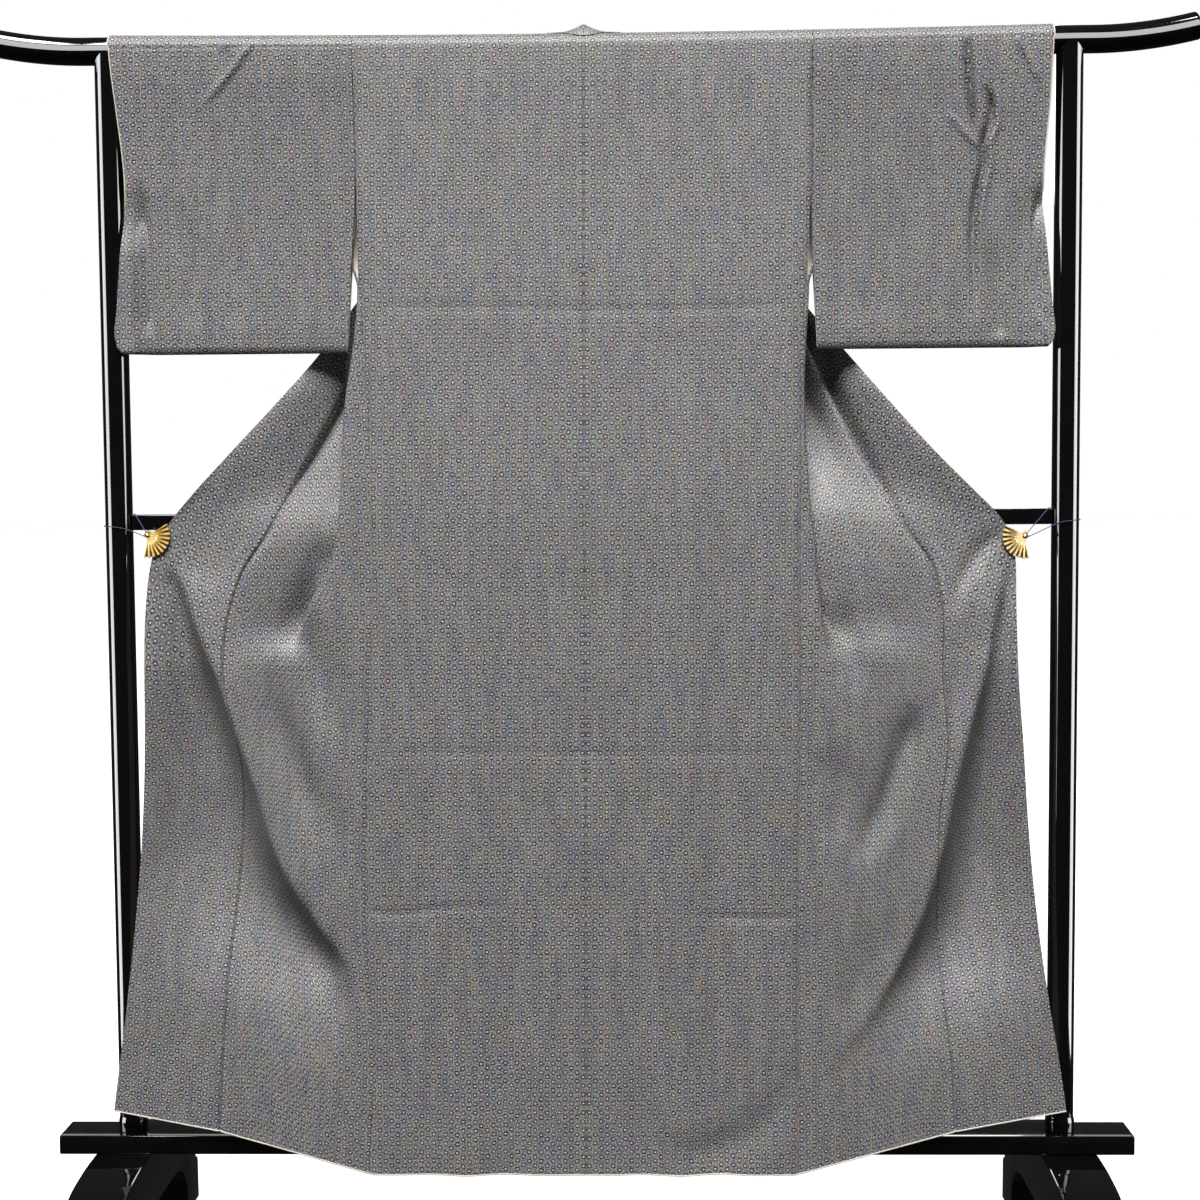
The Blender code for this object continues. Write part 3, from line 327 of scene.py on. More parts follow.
# ---------------------------------------------------------------- creases
# Each crease: depth, half width, ridge beside it (-1 to 1.5), how much of its length fades in and
# out, and its course as (X, down).
CREASES = {
    "back": (
        (.0022, .010, 1.2, .15, .5, ((.070, .018), (.062, .140), (.064, .261))),
        (.0009, .005, 0.6, .10, .1, ((-.312, .378), (-.149, .381), (-.006, .385), (.156, .385),
                                     (.300, .381))),
        (.0008, .005, 0.6, .10, .1, ((-.305, 1.000), (-.008, 1.003), (.285, 1.005))),
        (.0014, .004, 0.8, .05, .6, ((-.318, 1.226), (-.270, 1.230), (-.200, 1.221),
                                     (-.090, 1.224))),
        (.0016, .004, 0.8, .60, .05, ((.100, 1.232), (.212, 1.236), (.289, 1.238))),
        (.0016, .005, 1.0, .30, .4, ((-.231, .665), (-.230, .726), (-.228, .790))),
        (.0011, .004, 1.0, .30, .4, ((-.192, .742), (-.191, .790))),
        (.0040, .020, 0.7, .40, .4, ((.060, 1.540), (.150, 1.565), (.215, 1.545),
                                     (.262, 1.490), (.285, 1.430))),
        (.0018, .030, 0.4, .40, .4, ((-.240, .420), (-.215, .620), (-.200, .900))),
        (.0016, .026, 0.4, .40, .4, ((.200, .420), (.215, .640), (.190, .900))),
        (.0012, .016, 0.4, .40, .4, ((-.120, .400), (-.130, .560), (-.125, .700))),
        (.0012, .018, 0.4, .40, .4, ((.100, .500), (.095, .700), (.105, .880))),
    ),
    "sleeve": (
        (-.0034, .0034, 0.5, .05, .45, ((-.451, .004), (-.500, .066), (-.549, .116))),
        (-.0024, .0030, 0.5, .05, .50, ((-.482, .004), (-.513, .030))),
        (.0085, .0085, 1.0, .40, .25, ((-.622, .190), (-.616, .300), (-.612, .430))),
        (.0026, .014, 0.5, .40, .30, ((-.560, .200), (-.556, .300), (-.560, .430))),
        (.0012, .012, 0.5, .40, .30, ((-.398, .180), (-.400, .280), (-.396, .400))),
        (.0012, .016, 0.5, .40, .30, ((-.470, .220), (-.468, .330), (-.474, .435))),
        (-.0080, .0036, -1.1, .05, .40, ((.519, .004), (.523, .051), (.531, .140))),
        (-.0030, .0032, 0.5, .15, .30, ((.590, .012), (.610, .050), (.630, .090))),
        (-.0028, .0032, 0.5, .20, .30, ((.498, .117), (.523, .146), (.550, .175))),
        (.0085, .0042, 1.4, .12, .55, ((.552, .078), (.563, .117), (.560, .140), (.552, .160),
                                      (.553, .187), (.544, .228), (.539, .282), (.541, .352),
                                      (.545, .420))),
        (.0110, .0075, -0.9, .35, .05, ((.629, .200), (.625, .250), (.624, .311), (.628, .365),
                                       (.639, .415))),
        (.0040, .009, 0.8, .50, .10, ((.575, .280), (.572, .340), (.580, .435))),
        (.0012, .016, 0.5, .40, .30, ((.420, .200), (.424, .300), (.420, .430))),
        (.0012, .014, 0.5, .40, .30, ((.370, .230), (.366, .320), (.372, .430))),
    ),
    "front": (
        # left wing: the hooked pocket beside the side seam and soft bands below it
        (.0120, .016, 0.0, .30, .30, ((-.368, .690), (-.380, .750), (-.404, .810),
                                      (-.425, .870))),
        (.0075, .018, -0.8, .35, .45, ((-.425, .700), (-.418, .780), (-.400, .860), (-.372, .960),
                                       (-.345, 1.040))),
        (.0095, .020, 0.7, .40, .40, ((-.455, .860), (-.430, .960), (-.390, 1.070),
                                      (-.350, 1.160))),
        (.0060, .024, 0.6, .40, .40, ((-.425, 1.180), (-.380, 1.270), (-.335, 1.330))),
        (.0050, .020, 0.6, .40, .40, ((-.470, 1.250), (-.425, 1.370), (-.370, 1.470))),
        # right wing
        (.0300, .030, 0.0, .20, .55, ((.298, .360), (.303, .440), (.309, .520), (.318, .600),
                                      (.330, .680))),
        (.0060, .018, 0.8, .35, .45, ((.340, .800), (.372, .860), (.392, .930))),
        (.0060, .022, 0.6, .40, .40, ((.330, .980), (.362, 1.060), (.352, 1.160))),
        (.0110, .016, 0.9, .25, .40, ((.470, .930), (.448, 1.010), (.418, 1.090), (.372, 1.190))),
        (.0050, .020, 0.6, .40, .40, ((.440, 1.220), (.402, 1.320), (.352, 1.420))),
    ),
    "overlap": (
        (.0030, .007, 0.9, .10, .50, ((-.604, .672), (-.585, .664), (-.560, .645), (-.520, .625))),
        (.0030, .009, 0.9, .45, .20, ((-.585, .648), (-.560, .628), (-.535, .600), (-.500, .560))),
        (.0036, .020, 0.6, .40, .40, ((-.560, .860), (-.535, .960), (-.520, 1.060))),
        (.0024, .016, 0.6, .40, .40, ((-.600, .900), (-.590, 1.100), (-.600, 1.300))),
        (.0020, .016, 0.6, .40, .40, ((-.560, 1.150), (-.565, 1.330), (-.580, 1.500))),
        (.0046, .010, 0.9, .10, .50, ((.594, .700), (.560, .720), (.530, .760), (.505, .830))),
        (.0030, .012, 0.8, .30, .45, ((.585, .690), (.550, .650), (.500, .580))),
        (.0050, .018, 0.6, .30, .45, ((.560, .800), (.530, .900), (.510, 1.010))),
        (.0024, .016, 0.6, .40, .40, ((.575, .900), (.565, 1.100), (.575, 1.300))),
        (.0020, .016, 0.6, .40, .40, ((.530, 1.150), (.540, 1.330), (.560, 1.500))),
    ),
}


# ---------------------------------------------------------------- curves and tables
def hermite(x, y, at):
    """A smooth curve through the points (x, y), read anywhere: Hermite pieces with mean slopes."""
    x, y = np.asarray(x, float), np.asarray(y, float)
    slope = np.gradient(y, x, axis=0)
    at = np.clip(np.asarray(at, float), x[0], x[-1])
    i = np.clip(np.searchsorted(x, at) - 1, 0, len(x) - 2)
    step = x[i + 1] - x[i]
    t = (at - x[i]) / step
    if y.ndim > 1:
        shape = t.shape + (1,) * (y.ndim - 1)
        t, step = t.reshape(shape), step.reshape(shape)
    return ((1 + 2 * t) * (1 - t) ** 2 * y[i] + t * (1 - t) ** 2 * step * slope[i]
            + t * t * (3 - 2 * t) * y[i + 1] + t * t * (t - 1) * step * slope[i + 1])


def read(table, column, level):
    """A column of a table at any level."""
    return hermite(table["down"], table[column], level)


def ramp(value, start, stop):
    """0 before start, 1 after stop, smooth in between."""
    t = np.clip((np.asarray(value, float) - start) / (stop - start), 0, 1)
    return t * t * (3 - 2 * t)


def split(values, counts):
    """A run of values with each interval divided by its count: evenly, and closer and closer
    together towards the outer end of the first and the last interval."""
    at = [i + np.arange(n) / n for i, n in enumerate(counts)]
    at[0] = at[0] ** 2
    at[-1] = len(counts) - (len(counts) - at[-1]) ** 2
    return np.interp(np.concatenate(at + [[len(counts)]]), np.arange(len(values)), values)


def refine(grid, rows, columns):
    """A coarse grid of points resampled smoothly to more rows and columns."""
    down = hermite(np.arange(grid.shape[0]), grid, np.linspace(0, grid.shape[0] - 1, rows))
    across = hermite(np.arange(grid.shape[1]), down.transpose(1, 0, 2),
                     np.linspace(0, grid.shape[1] - 1, columns))
    return across.transpose(1, 0, 2)


def smooth_path(dots, count):
    """A smooth line through a few dots, spaced evenly along its length."""
    dots = np.asarray(dots, float)
    steps = np.concatenate(([0], np.cumsum(np.linalg.norm(np.diff(dots, axis=0), axis=1))))
    fine = hermite(steps, dots, np.linspace(0, steps[-1], count * 6))
    run = np.concatenate(([0], np.cumsum(np.linalg.norm(np.diff(fine, axis=0), axis=1))))
    even = np.linspace(0, run[-1], count)
    return np.stack([np.interp(even, run, fine[:, k]) for k in range(dots.shape[1])], axis=1)


def rail_line(out):
    """Height of the rail's middle line at a distance out from the centre."""
    out = np.abs(out)
    sag = RAIL_SAG * (1 - np.clip(out / POST_OUT, 0, 1) ** 2)
    bend = np.clip((out - RAIL_BEND) / (RAIL_TIP - RAIL_BEND), 0, None)
    return RAIL_Z - sag + RAIL_RISE * bend ** 2


def crease_depth(group, x, down):
    """How far the creases of a group press the cloth in (+Y) at points (X, down).

    Across a crease the depth is a bell times (1 + ridge * distance), which raises one shoulder.
    """
    total = np.zeros(np.shape(x))
    for depth, width, ridge, fade_in, fade_out, course in CREASES[group]:
        line = smooth_path(course, 28)
        start, step = line[:-1], np.diff(line, axis=0)
        length = np.linalg.norm(step, axis=1)
        near = ((x > line[:, 0].min() - 4 * width) & (x < line[:, 0].max() + 4 * width)
                & (down > line[:, 1].min() - 4 * width) & (down < line[:, 1].max() + 4 * width))
        spot = np.stack((x[near], down[near]), axis=-1)[:, None, :]
        along = np.clip(((spot - start) * step).sum(-1) / length ** 2, 0, 1)
        away = spot - start - along[..., None] * step
        apart = np.linalg.norm(away, axis=-1)
        best = apart.argmin(axis=1)
        rows = np.arange(len(best))
        hand = np.sign(step[best, 0] * away[rows, best, 1] - step[best, 1] * away[rows, best, 0])
        across = hand * apart[rows, best] / width
        place = (best + along[rows, best]) / len(length)
        strength = ramp(place, 0, fade_in + 1e-3) * (1 - ramp(place, 1 - fade_out - 1e-3, 1))
        total[near] += depth * strength * np.exp(-across ** 2 / 2) * (1 + ridge * across)
    return total


# ---------------------------------------------------------------- meshes
def mesh_object(name, points, faces, uv, materials):
    """A mesh from arrays of points and quads, with a UV for each point."""
    mesh = bpy.data.meshes.new(name)
    mesh.from_pydata(points.tolist(), [], faces)
    for one in materials:
        mesh.materials.append(one)
    corner = np.empty(len(mesh.loops), np.int32)
    mesh.loops.foreach_get("vertex_index", corner)
    layer = mesh.uv_layers.new(name="UVMap")
    layer.data.foreach_set("uv", np.asarray(uv, np.float32)[corner].ravel())
    mesh.shade_smooth()
    thing = bpy.data.objects.new(name, mesh)
    bpy.context.scene.collection.objects.link(thing)
    return thing


def settle(thing, sharp=50):
    """Apply the piece's modifiers and keep only its real corners sharp."""
    bpy.context.view_layer.update()
    graph = bpy.context.evaluated_depsgraph_get()
    mesh = bpy.data.meshes.new_from_object(thing.evaluated_get(graph))
    thing.modifiers.clear()
    thing.data = mesh
    mesh.set_sharp_from_angle(angle=math.radians(sharp))
    return thing


def cloth(name, grid, uv, wall, materials, closed=False):
    """A sheet of cloth from a grid of points; missing points are NaN.  It gets its wall here.

    The first material is the outer silk, the second the lining, the third the turned edge.
    """
    rows, columns = grid.shape[:2]
    there = ~np.isnan(grid[..., 0])
    index = np.where(there, np.cumsum(there.ravel()).reshape(rows, columns) - 1, -1)
    below = np.roll(index, -1, axis=0) if closed else index[1:]
    above = index if closed else index[:-1]
    quads = np.stack((above[:, :-1], above[:, 1:], below[:, 1:], below[:, :-1]), axis=-1)
    quads = quads.reshape(-1, 4)
    quads = quads[(quads >= 0).all(axis=1)]
    points = grid[there]
    a, b, c = (points[quads[:, k]] for k in (0, 1, 3))
    facing = np.cross(b - a, c - a)
    if facing[a[:, 1] < -0.012, 1].sum() > 0:        # the outer silk looks to the front there
        quads = quads[:, ::-1]
    thing = mesh_object(name, points, quads.tolist(), uv[there], materials)
    solid = thing.modifiers.new("wall", "SOLIDIFY")
    solid.thickness = wall
    solid.offset = 0.0
    solid.material_offset = 1
    solid.material_offset_rim = 2
    return settle(thing, 70)


def ringed(name, rings, materials, uv=None, sharp=40):
    """A solid from closed rings of points (rings x points x 3), its two ends closed by caps."""
    count, around = rings.shape[:2]
    index = np.arange(count * around).reshape(count, around)
    ahead = np.roll(index, -1, axis=1)
    quads = np.stack((index[:-1], ahead[:-1], ahead[1:], index[1:]), axis=-1)
    quads = quads.reshape(-1, 4).tolist()
    quads += [index[0, ::-1].tolist(), index[-1].tolist()]
    points = rings.reshape(-1, 3)
    if uv is None:
        run = np.concatenate(([0], np.cumsum(np.linalg.norm(
            np.diff(rings.mean(axis=1), axis=0), axis=1))))
        turn = np.arange(around) / around
        uv = np.stack(np.broadcast_arrays(turn[None, :], run[:, None]), axis=-1).reshape(-1, 2)
    thing = mesh_object(name, points, quads, uv, materials)
    shape = np.asarray(rings)
    middle = shape.mean(axis=1, keepdims=True)
    a, b, c = shape[:-1], np.roll(shape[:-1], -1, axis=1), shape[1:]
    outward = (np.cross(b - a, c - a) * (a - middle[:-1])).sum()
    if outward < 0:
        thing.data.flip_normals()
    thing.data.set_sharp_from_angle(angle=math.radians(sharp))
    return thing


def tube(name, path, radius, around, materials, sharp=40):
    """A round tube along a path; the radius may change from point to point."""
    path = np.asarray(path, float)
    ahead = np.gradient(path, axis=0)
    ahead /= np.linalg.norm(ahead, axis=1, keepdims=True)
    side = np.empty_like(path)
    first = np.cross(ahead[0], (0.0, 0.0, 1.0))
    if np.linalg.norm(first) < 0.1:
        first = np.cross(ahead[0], (0.0, 1.0, 0.0))
    side[0] = first / np.linalg.norm(first)
    for i in range(1, len(path)):
        turned = side[i - 1] - ahead[i] * side[i - 1].dot(ahead[i])
        side[i] = turned / np.linalg.norm(turned)
    over = np.cross(ahead, side)
    turn = np.linspace(0, 2 * math.pi, around, endpoint=False)
    size = np.broadcast_to(np.asarray(radius, float), (len(path),))[:, None, None]
    rings = path[:, None] + size * (np.cos(turn)[None, :, None] * side[:, None]
                                    + np.sin(turn)[None, :, None] * over[:, None])
    return ringed(name, rings, materials, sharp=sharp)


def ride(piece, slot, *nodes):
    """Every piece goes with the one body and stands for its solids, which are hidden; the slot is
    not used.
    """
    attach(piece, "root")
    if nodes:
        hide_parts(*nodes)
    return piece


# ---------------------------------------------------------------- materials
class Finish:
    """A Principled material and the few steps that its nodes are built with."""

    def __init__(self, name, roughness, metallic=0.0, **sockets):
        self.material = bpy.data.materials.new(name)
        self.material.use_nodes = True
        self.tree = self.material.node_tree
        self.shader = self.tree.nodes["Principled BSDF"]
        self.shader.inputs["Roughness"].default_value = roughness
        self.shader.inputs["Metallic"].default_value = metallic
        for socket, value in sockets.items():
            self.shader.inputs[socket.replace("_", " ")].default_value = value

    def node(self, kind, inputs=None, out=0, **settings):
        """A new node: its inputs are values or other nodes' outputs."""
        made = self.tree.nodes.new("ShaderNode" + kind)
        for key, value in settings.items():
            setattr(made, key, value)
        for key, value in (inputs or {}).items():
            if isinstance(value, bpy.types.NodeSocket):
                self.tree.links.new(value, made.inputs[key])
            else:
                made.inputs[key].default_value = value
        return made.outputs[out]

    def math(self, operation, a, b=0.0, c=0.0, clamp=False):
        """One step of arithmetic."""
        return self.node("Math", {0: a, 1: b, 2: c}, operation=operation, use_clamp=clamp)

    def blend(self, factor, a, b):
        """Mix two colours."""
        made = self.tree.nodes.new("ShaderNodeMix")
        made.data_type = "RGBA"
        made.clamp_result = True
        for key, value in ((0, factor), (6, a), (7, b)):
            if isinstance(value, bpy.types.NodeSocket):
                self.tree.links.new(value, made.inputs[key])
            else:
                made.inputs[key].default_value = value if key == 0 else (*value, 1.0)
        return made.outputs[2]

    def span(self, value, low, high, to_low, to_high):
        """A value moved from one range to another, smooth and held at both ends."""
        return self.node("MapRange", {0: value, 1: low, 2: high, 3: to_low, 4: to_high},
                         interpolation_type="SMOOTHSTEP")

    def noise(self, place, scale, detail=2.0):
        """Cloudy noise at a place."""
        return self.node("TexNoise", {"Vector": place, "Scale": scale, "Detail": detail,
                                      "Roughness": 0.55})

    def link(self, value, socket):
        """Lead a node's output into the shader."""
        self.tree.links.new(value, self.shader.inputs[socket])

    def bump(self, height, strength, distance):
        """Raise the surface by a height."""
        self.link(self.node("Bump", {"Strength": strength, "Distance": distance,
                                     "Height": height}), "Normal")


DOT_COLUMN = 0.0085          # between columns of dots
DOT_ROW = 0.0128             # between the dots of a column
DOT_SHIFT = 0.9              # millimetres, the most that a dot is off its place
RING_RADIUS = 2.65           # millimetres


def komon_silk(name):
    """Fine komon silk: ringed dots in a half-drop repeat over a softly mottled grey ground, with
    painted shade in the crepe's hollows.

    The cloth's UV is in metres: across the cloth and along its warp.  Every other column of dots
    is half a step on, and each dot is a little off its place.  The distance from a dot's middle,
    in millimetres, gives the pale dot and the broken dark ring round it.
    """
    silk = Finish(name, 0.48, Specular_IOR_Level=0.50, Sheen_Weight=0.04, Sheen_Roughness=0.4)
    uv = silk.node("UVMap", uv_map="UVMap")
    across = silk.node("SeparateXYZ", {0: uv}, out=0)
    along = silk.node("SeparateXYZ", {0: uv}, out=1)
    column = silk.math("MULTIPLY", across, 1 / DOT_COLUMN)
    column_no = silk.math("FLOOR", column)
    half_drop = silk.math("MULTIPLY", silk.math("PINGPONG", column_no, 1.0), 0.5)
    row = silk.math("ADD", silk.math("MULTIPLY", along, 1 / DOT_ROW), half_drop)
    row_no = silk.math("FLOOR", row)
    chance = silk.node("TexWhiteNoise", {0: silk.node("CombineXYZ", {0: column_no, 1: row_no})},
                       out=1)
    chance_x = silk.node("SeparateXYZ", {0: chance}, out=0)
    chance_y = silk.node("SeparateXYZ", {0: chance}, out=1)
    chance_z = silk.node("SeparateXYZ", {0: chance}, out=2)
    wide, long = 1000 * DOT_COLUMN, 1000 * DOT_ROW
    x = silk.math("MULTIPLY_ADD", silk.math("FRACT", column), wide,
                  silk.math("MULTIPLY_ADD", chance_x, DOT_SHIFT, -(wide + DOT_SHIFT) / 2))
    y = silk.math("MULTIPLY_ADD", silk.math("FRACT", row), long,
                  silk.math("MULTIPLY_ADD", chance_y, DOT_SHIFT, -(long + DOT_SHIFT) / 2))
    far = silk.math("SQRT", silk.math("ADD", silk.math("MULTIPLY", x, x),
                                      silk.math("MULTIPLY", y, y)))
    dot = silk.span(far, 0.6, 1.7, 1.0, 0.0)
    ring = silk.math("ABSOLUTE", silk.math("SUBTRACT", far, RING_RADIUS))
    ring = silk.span(ring, 0.35, 1.35, 1.0, 0.0)
    upright = silk.math("DIVIDE", silk.math("ABSOLUTE", y), silk.math("MAXIMUM", far, 0.5))
    ring = silk.math("MULTIPLY", ring, silk.span(upright, 0.10, 0.90, 0.62, 1.0))
    ring = silk.math("MULTIPLY", ring, silk.span(chance_z, 0.0, 1.0, 0.70, 1.0))

    def dye(scale_x, scale_y, layer, detail, low, high):
        """Cloudy dye, given how many clouds there are to the metre across and along the cloth."""
        place = silk.node("CombineXYZ", {0: silk.math("MULTIPLY", across, scale_x),
                                         1: silk.math("MULTIPLY", along, scale_y), 2: layer})
        cloud = silk.node("TexNoise", {"Vector": place, "Scale": 1.0, "Detail": detail,
                                       "Roughness": 0.6})
        return silk.span(cloud, low, high, 0.0, 1.0)

    crepe_and_hollow_shade = dye(600.0, 500.0, 3.0, 1.0, 0.42, 0.56)       # crepe texture: it lowers the surface in the bump below and, as painted shade, darkens the colour in those hollows
    ground = silk.blend(dye(108.0, 17.0, 0.0, 1.0, 0.42, 0.64), (0.400, 0.390, 0.385),
                        (0.310, 0.335, 0.400))
    ground = silk.blend(dye(104.0, 16.0, 11.0, 1.0, 0.50, 0.66), ground, (0.430, 0.375, 0.325))
    ground = silk.blend(dye(110.0, 15.0, 23.0, 1.0, 0.52, 0.68), ground, (0.410, 0.340, 0.385))
    ground = silk.blend(dye(106.0, 17.0, 37.0, 1.0, 0.52, 0.68), ground, (0.370, 0.405, 0.335))
    ground = silk.blend(silk.math("MULTIPLY", dye(60.0, 9.0, 7.0, 2.0, 0.35, 0.65), 0.25), ground,
                        (0.160, 0.158, 0.162))
    tint = ground
    # painted shade: the ground darkened almost to black where the crepe is lowest
    ground = silk.blend(silk.math("MULTIPLY", crepe_and_hollow_shade, 0.84), ground, (0.030, 0.028, 0.030))
    cloth_colour = silk.blend(ring, ground, (0.006, 0.005, 0.006))
    pale = silk.blend(0.50, tint, (0.90, 0.88, 0.85))
    cloth_colour = silk.blend(silk.math("MULTIPLY", dot, 0.92), cloth_colour, pale)
    silk.link(cloth_colour, "Base Color")
    weave = silk.math("ADD", silk.math("MULTIPLY", crepe_and_hollow_shade, -0.8), silk.math("MULTIPLY", dot, 0.35))
    silk.bump(weave, 0.50, 0.0005)
    return silk.material


def plain_silk(name, colour, deep):
    """Smooth plain-woven silk with a faint grain, for the lining and the turned edges."""
    silk = Finish(name, 0.55, Sheen_Weight=0.10, Specular_IOR_Level=0.35)
    place = silk.node("TexCoord", out=3)
    cloudy = silk.noise(place, 14.0)
    silk.link(silk.blend(silk.span(cloudy, 0.3, 0.7, 0.0, 1.0), colour, deep), "Base Color")
    silk.bump(silk.noise(place, 1400.0, 1.0), 0.20, 0.0003)
    return silk.material


def black_lacquer(name):
    """Deep gloss black lacquer: a clear coat over near-black, with the faintest haze and ripple."""
    lacquer = Finish(name, 0.07, Specular_IOR_Level=0.5, Coat_Weight=0.6, Coat_Roughness=0.03)
    place = lacquer.node("TexCoord", out=3)
    haze = lacquer.noise(place, 9.0, 4.0)
    lacquer.link(lacquer.blend(haze, (0.0014, 0.0012, 0.0016), (0.0036, 0.0032, 0.0034)),
                 "Base Color")
    lacquer.link(lacquer.span(lacquer.noise(place, 26.0, 3.0), 0.35, 0.75, 0.04, 0.09),
                 "Roughness")
    lacquer.bump(lacquer.noise(place, 60.0, 1.0), 0.04, 0.0006)
    return lacquer.material


def gilt_brass(name, colour, deep):
    """Polished gilt metal, its colour mottled a little darker at random, its roughness varied by a
    fine grain.
    """
    gilt = Finish(name, 0.22, 1.0)
    place = gilt.node("TexCoord", out=3)
    worn = gilt.noise(place, 220.0, 3.0)
    gilt.link(gilt.blend(gilt.span(worn, 0.45, 0.8, 0.0, 0.6), colour, deep), "Base Color")
    gilt.link(gilt.span(gilt.noise(place, 600.0, 2.0), 0.3, 0.7, 0.24, 0.32), "Roughness")
    return gilt.material


def ribbed_gilt(name, colour, deep):
    """The gilt of a ribbed fan, with painted shade between its ribs: the gaps take a near-black
    brown.

    The fan's UV is in ribs along its rim and in millimetres from its pivot.
    """
    gilt = Finish(name, 0.36, 1.0)
    uv = gilt.node("UVMap", uv_map="UVMap")
    rib = gilt.math("PINGPONG", gilt.node("SeparateXYZ", {0: uv}, out=0), 0.5)
    far = gilt.node("SeparateXYZ", {0: uv}, out=1)
    narrow = gilt.span(far, 12.0, 30.0, 0.43, 0.27)      # the gaps widen towards the rim
    shaded_gap = gilt.math("MULTIPLY_ADD", gilt.math("SUBTRACT", rib, narrow), 14.0, 0.5, clamp=True)
    shaded_gap = gilt.math("MULTIPLY", shaded_gap, gilt.span(far, 12.0, 15.0, 0.0, 1.0))
    # painted shade: the gaps between the ribs take the dark second colour
    gilt.link(gilt.blend(shaded_gap, colour, deep), "Base Color")
    gilt.link(gilt.span(shaded_gap, 0.0, 1.0, 0.36, 0.60), "Roughness")
    return gilt.material


def twisted_cord(name, colour, deep):
    """Thin twisted silk cord: slanting strands from the tube's own turn and length, each darkened
    towards the grooves between strands as painted shade.
    """
    cord = Finish(name, 0.6, Sheen_Weight=0.2)
    uv = cord.node("UVMap", uv_map="UVMap")
    turn = cord.node("SeparateXYZ", {0: uv}, out=0)
    run = cord.node("SeparateXYZ", {0: uv}, out=1)
    strand_and_groove_shade = cord.math("PINGPONG", cord.math("ADD", cord.math("MULTIPLY", turn, 2.0),
                                             cord.math("MULTIPLY", run, 900.0)), 0.5)
    strand_and_groove_shade = cord.math("MULTIPLY", strand_and_groove_shade, 2.0)
    # painted shade: the colour falls to the dark second colour where the strands dip into their
    # grooves
    cord.link(cord.blend(strand_and_groove_shade, deep, colour), "Base Color")
    cord.bump(strand_and_groove_shade, 0.6, 0.0003)
    return cord.material


SILK = komon_silk("komon_silk")
LINING = plain_silk("cream_lining", (0.66, 0.58, 0.46), (0.60, 0.52, 0.41))
EDGE = plain_silk("cream_edge", (0.70, 0.62, 0.52), (0.60, 0.52, 0.43))
LACQUER = black_lacquer("black_lacquer")
GILT = {"left": gilt_brass("yellow_gilt", (1.0, 0.74, 0.27), (0.90, 0.56, 0.12)),
        "right": gilt_brass("brassy_gilt", (0.94, 0.72, 0.36), (0.66, 0.44, 0.14))}
# the second colour of each is painted shade for the gaps between the fan's ribs
RIBBED = {"left": ribbed_gilt("yellow_ribbed_gilt", (1.0, 0.74, 0.27), (0.12, 0.045, 0.006)),
          "right": ribbed_gilt("brassy_ribbed_gilt", (0.94, 0.72, 0.36), (0.10, 0.055, 0.014))}
# its second colour is painted shade for the grooves between the strands
CORD = twisted_cord("purple_cord", (0.095, 0.055, 0.22), (0.030, 0.016, 0.080))
CLOTH_SLOTS = (SILK, LINING, SILK)


# ---------------------------------------------------------------- the fronts
def drop(nominal, hem):
    """Real level of a nominal one: below SETTLED the levels stretch to this column's own hem."""
    return nominal + (hem - LOWEST) * np.clip((nominal - SETTLED) / (LOWEST - SETTLED), 0, 1)


def depth(column, nominal):
    """A depth of the fronts; below SETTLED it goes on in line with the back."""
    lean = np.interp(nominal, (SETTLED, LOWEST), (0.0, -HEM_FORWARD))
    return read(DEPTH, column, np.minimum(nominal, SETTLED)) + lean


def long_fold(side, down, out):
    """Depth of the long fold that runs down and inwards from the clip.

    Outwards across it: a low rounded ridge (half a bell), a steep drop that eases off
    (1 - exp(-distance / slope)), and a slow return to the flat cloth (1 - half a bell).  It fades
    in below the clip and out above the hem.
    """
    away = out - read(LONG_FOLD, side + "_out", down)
    ridge, deep = read(LONG_FOLD, "ridge", down), read(LONG_FOLD, side + "_drop", down)
    outwards = (away + np.sqrt(away ** 2 + LONG_FOLD_ROUND ** 2)) / 2
    crest = ridge * np.exp(-(np.minimum(away, 0) / LONG_FOLD_RIDGE) ** 2 / 2)
    fall = (ridge + deep) * (1 - np.exp(-outwards / read(LONG_FOLD, side + "_slope", down)))
    reach = read(LONG_FOLD, side + "_return", down)
    back = deep * (1 - np.exp(-(np.maximum(away, 0) / reach) ** 2 / 2))
    return (fall - crest - back) * ramp(down, *LONG_FOLD_STARTS) * (1 - ramp(down, *LONG_FOLD_ENDS))


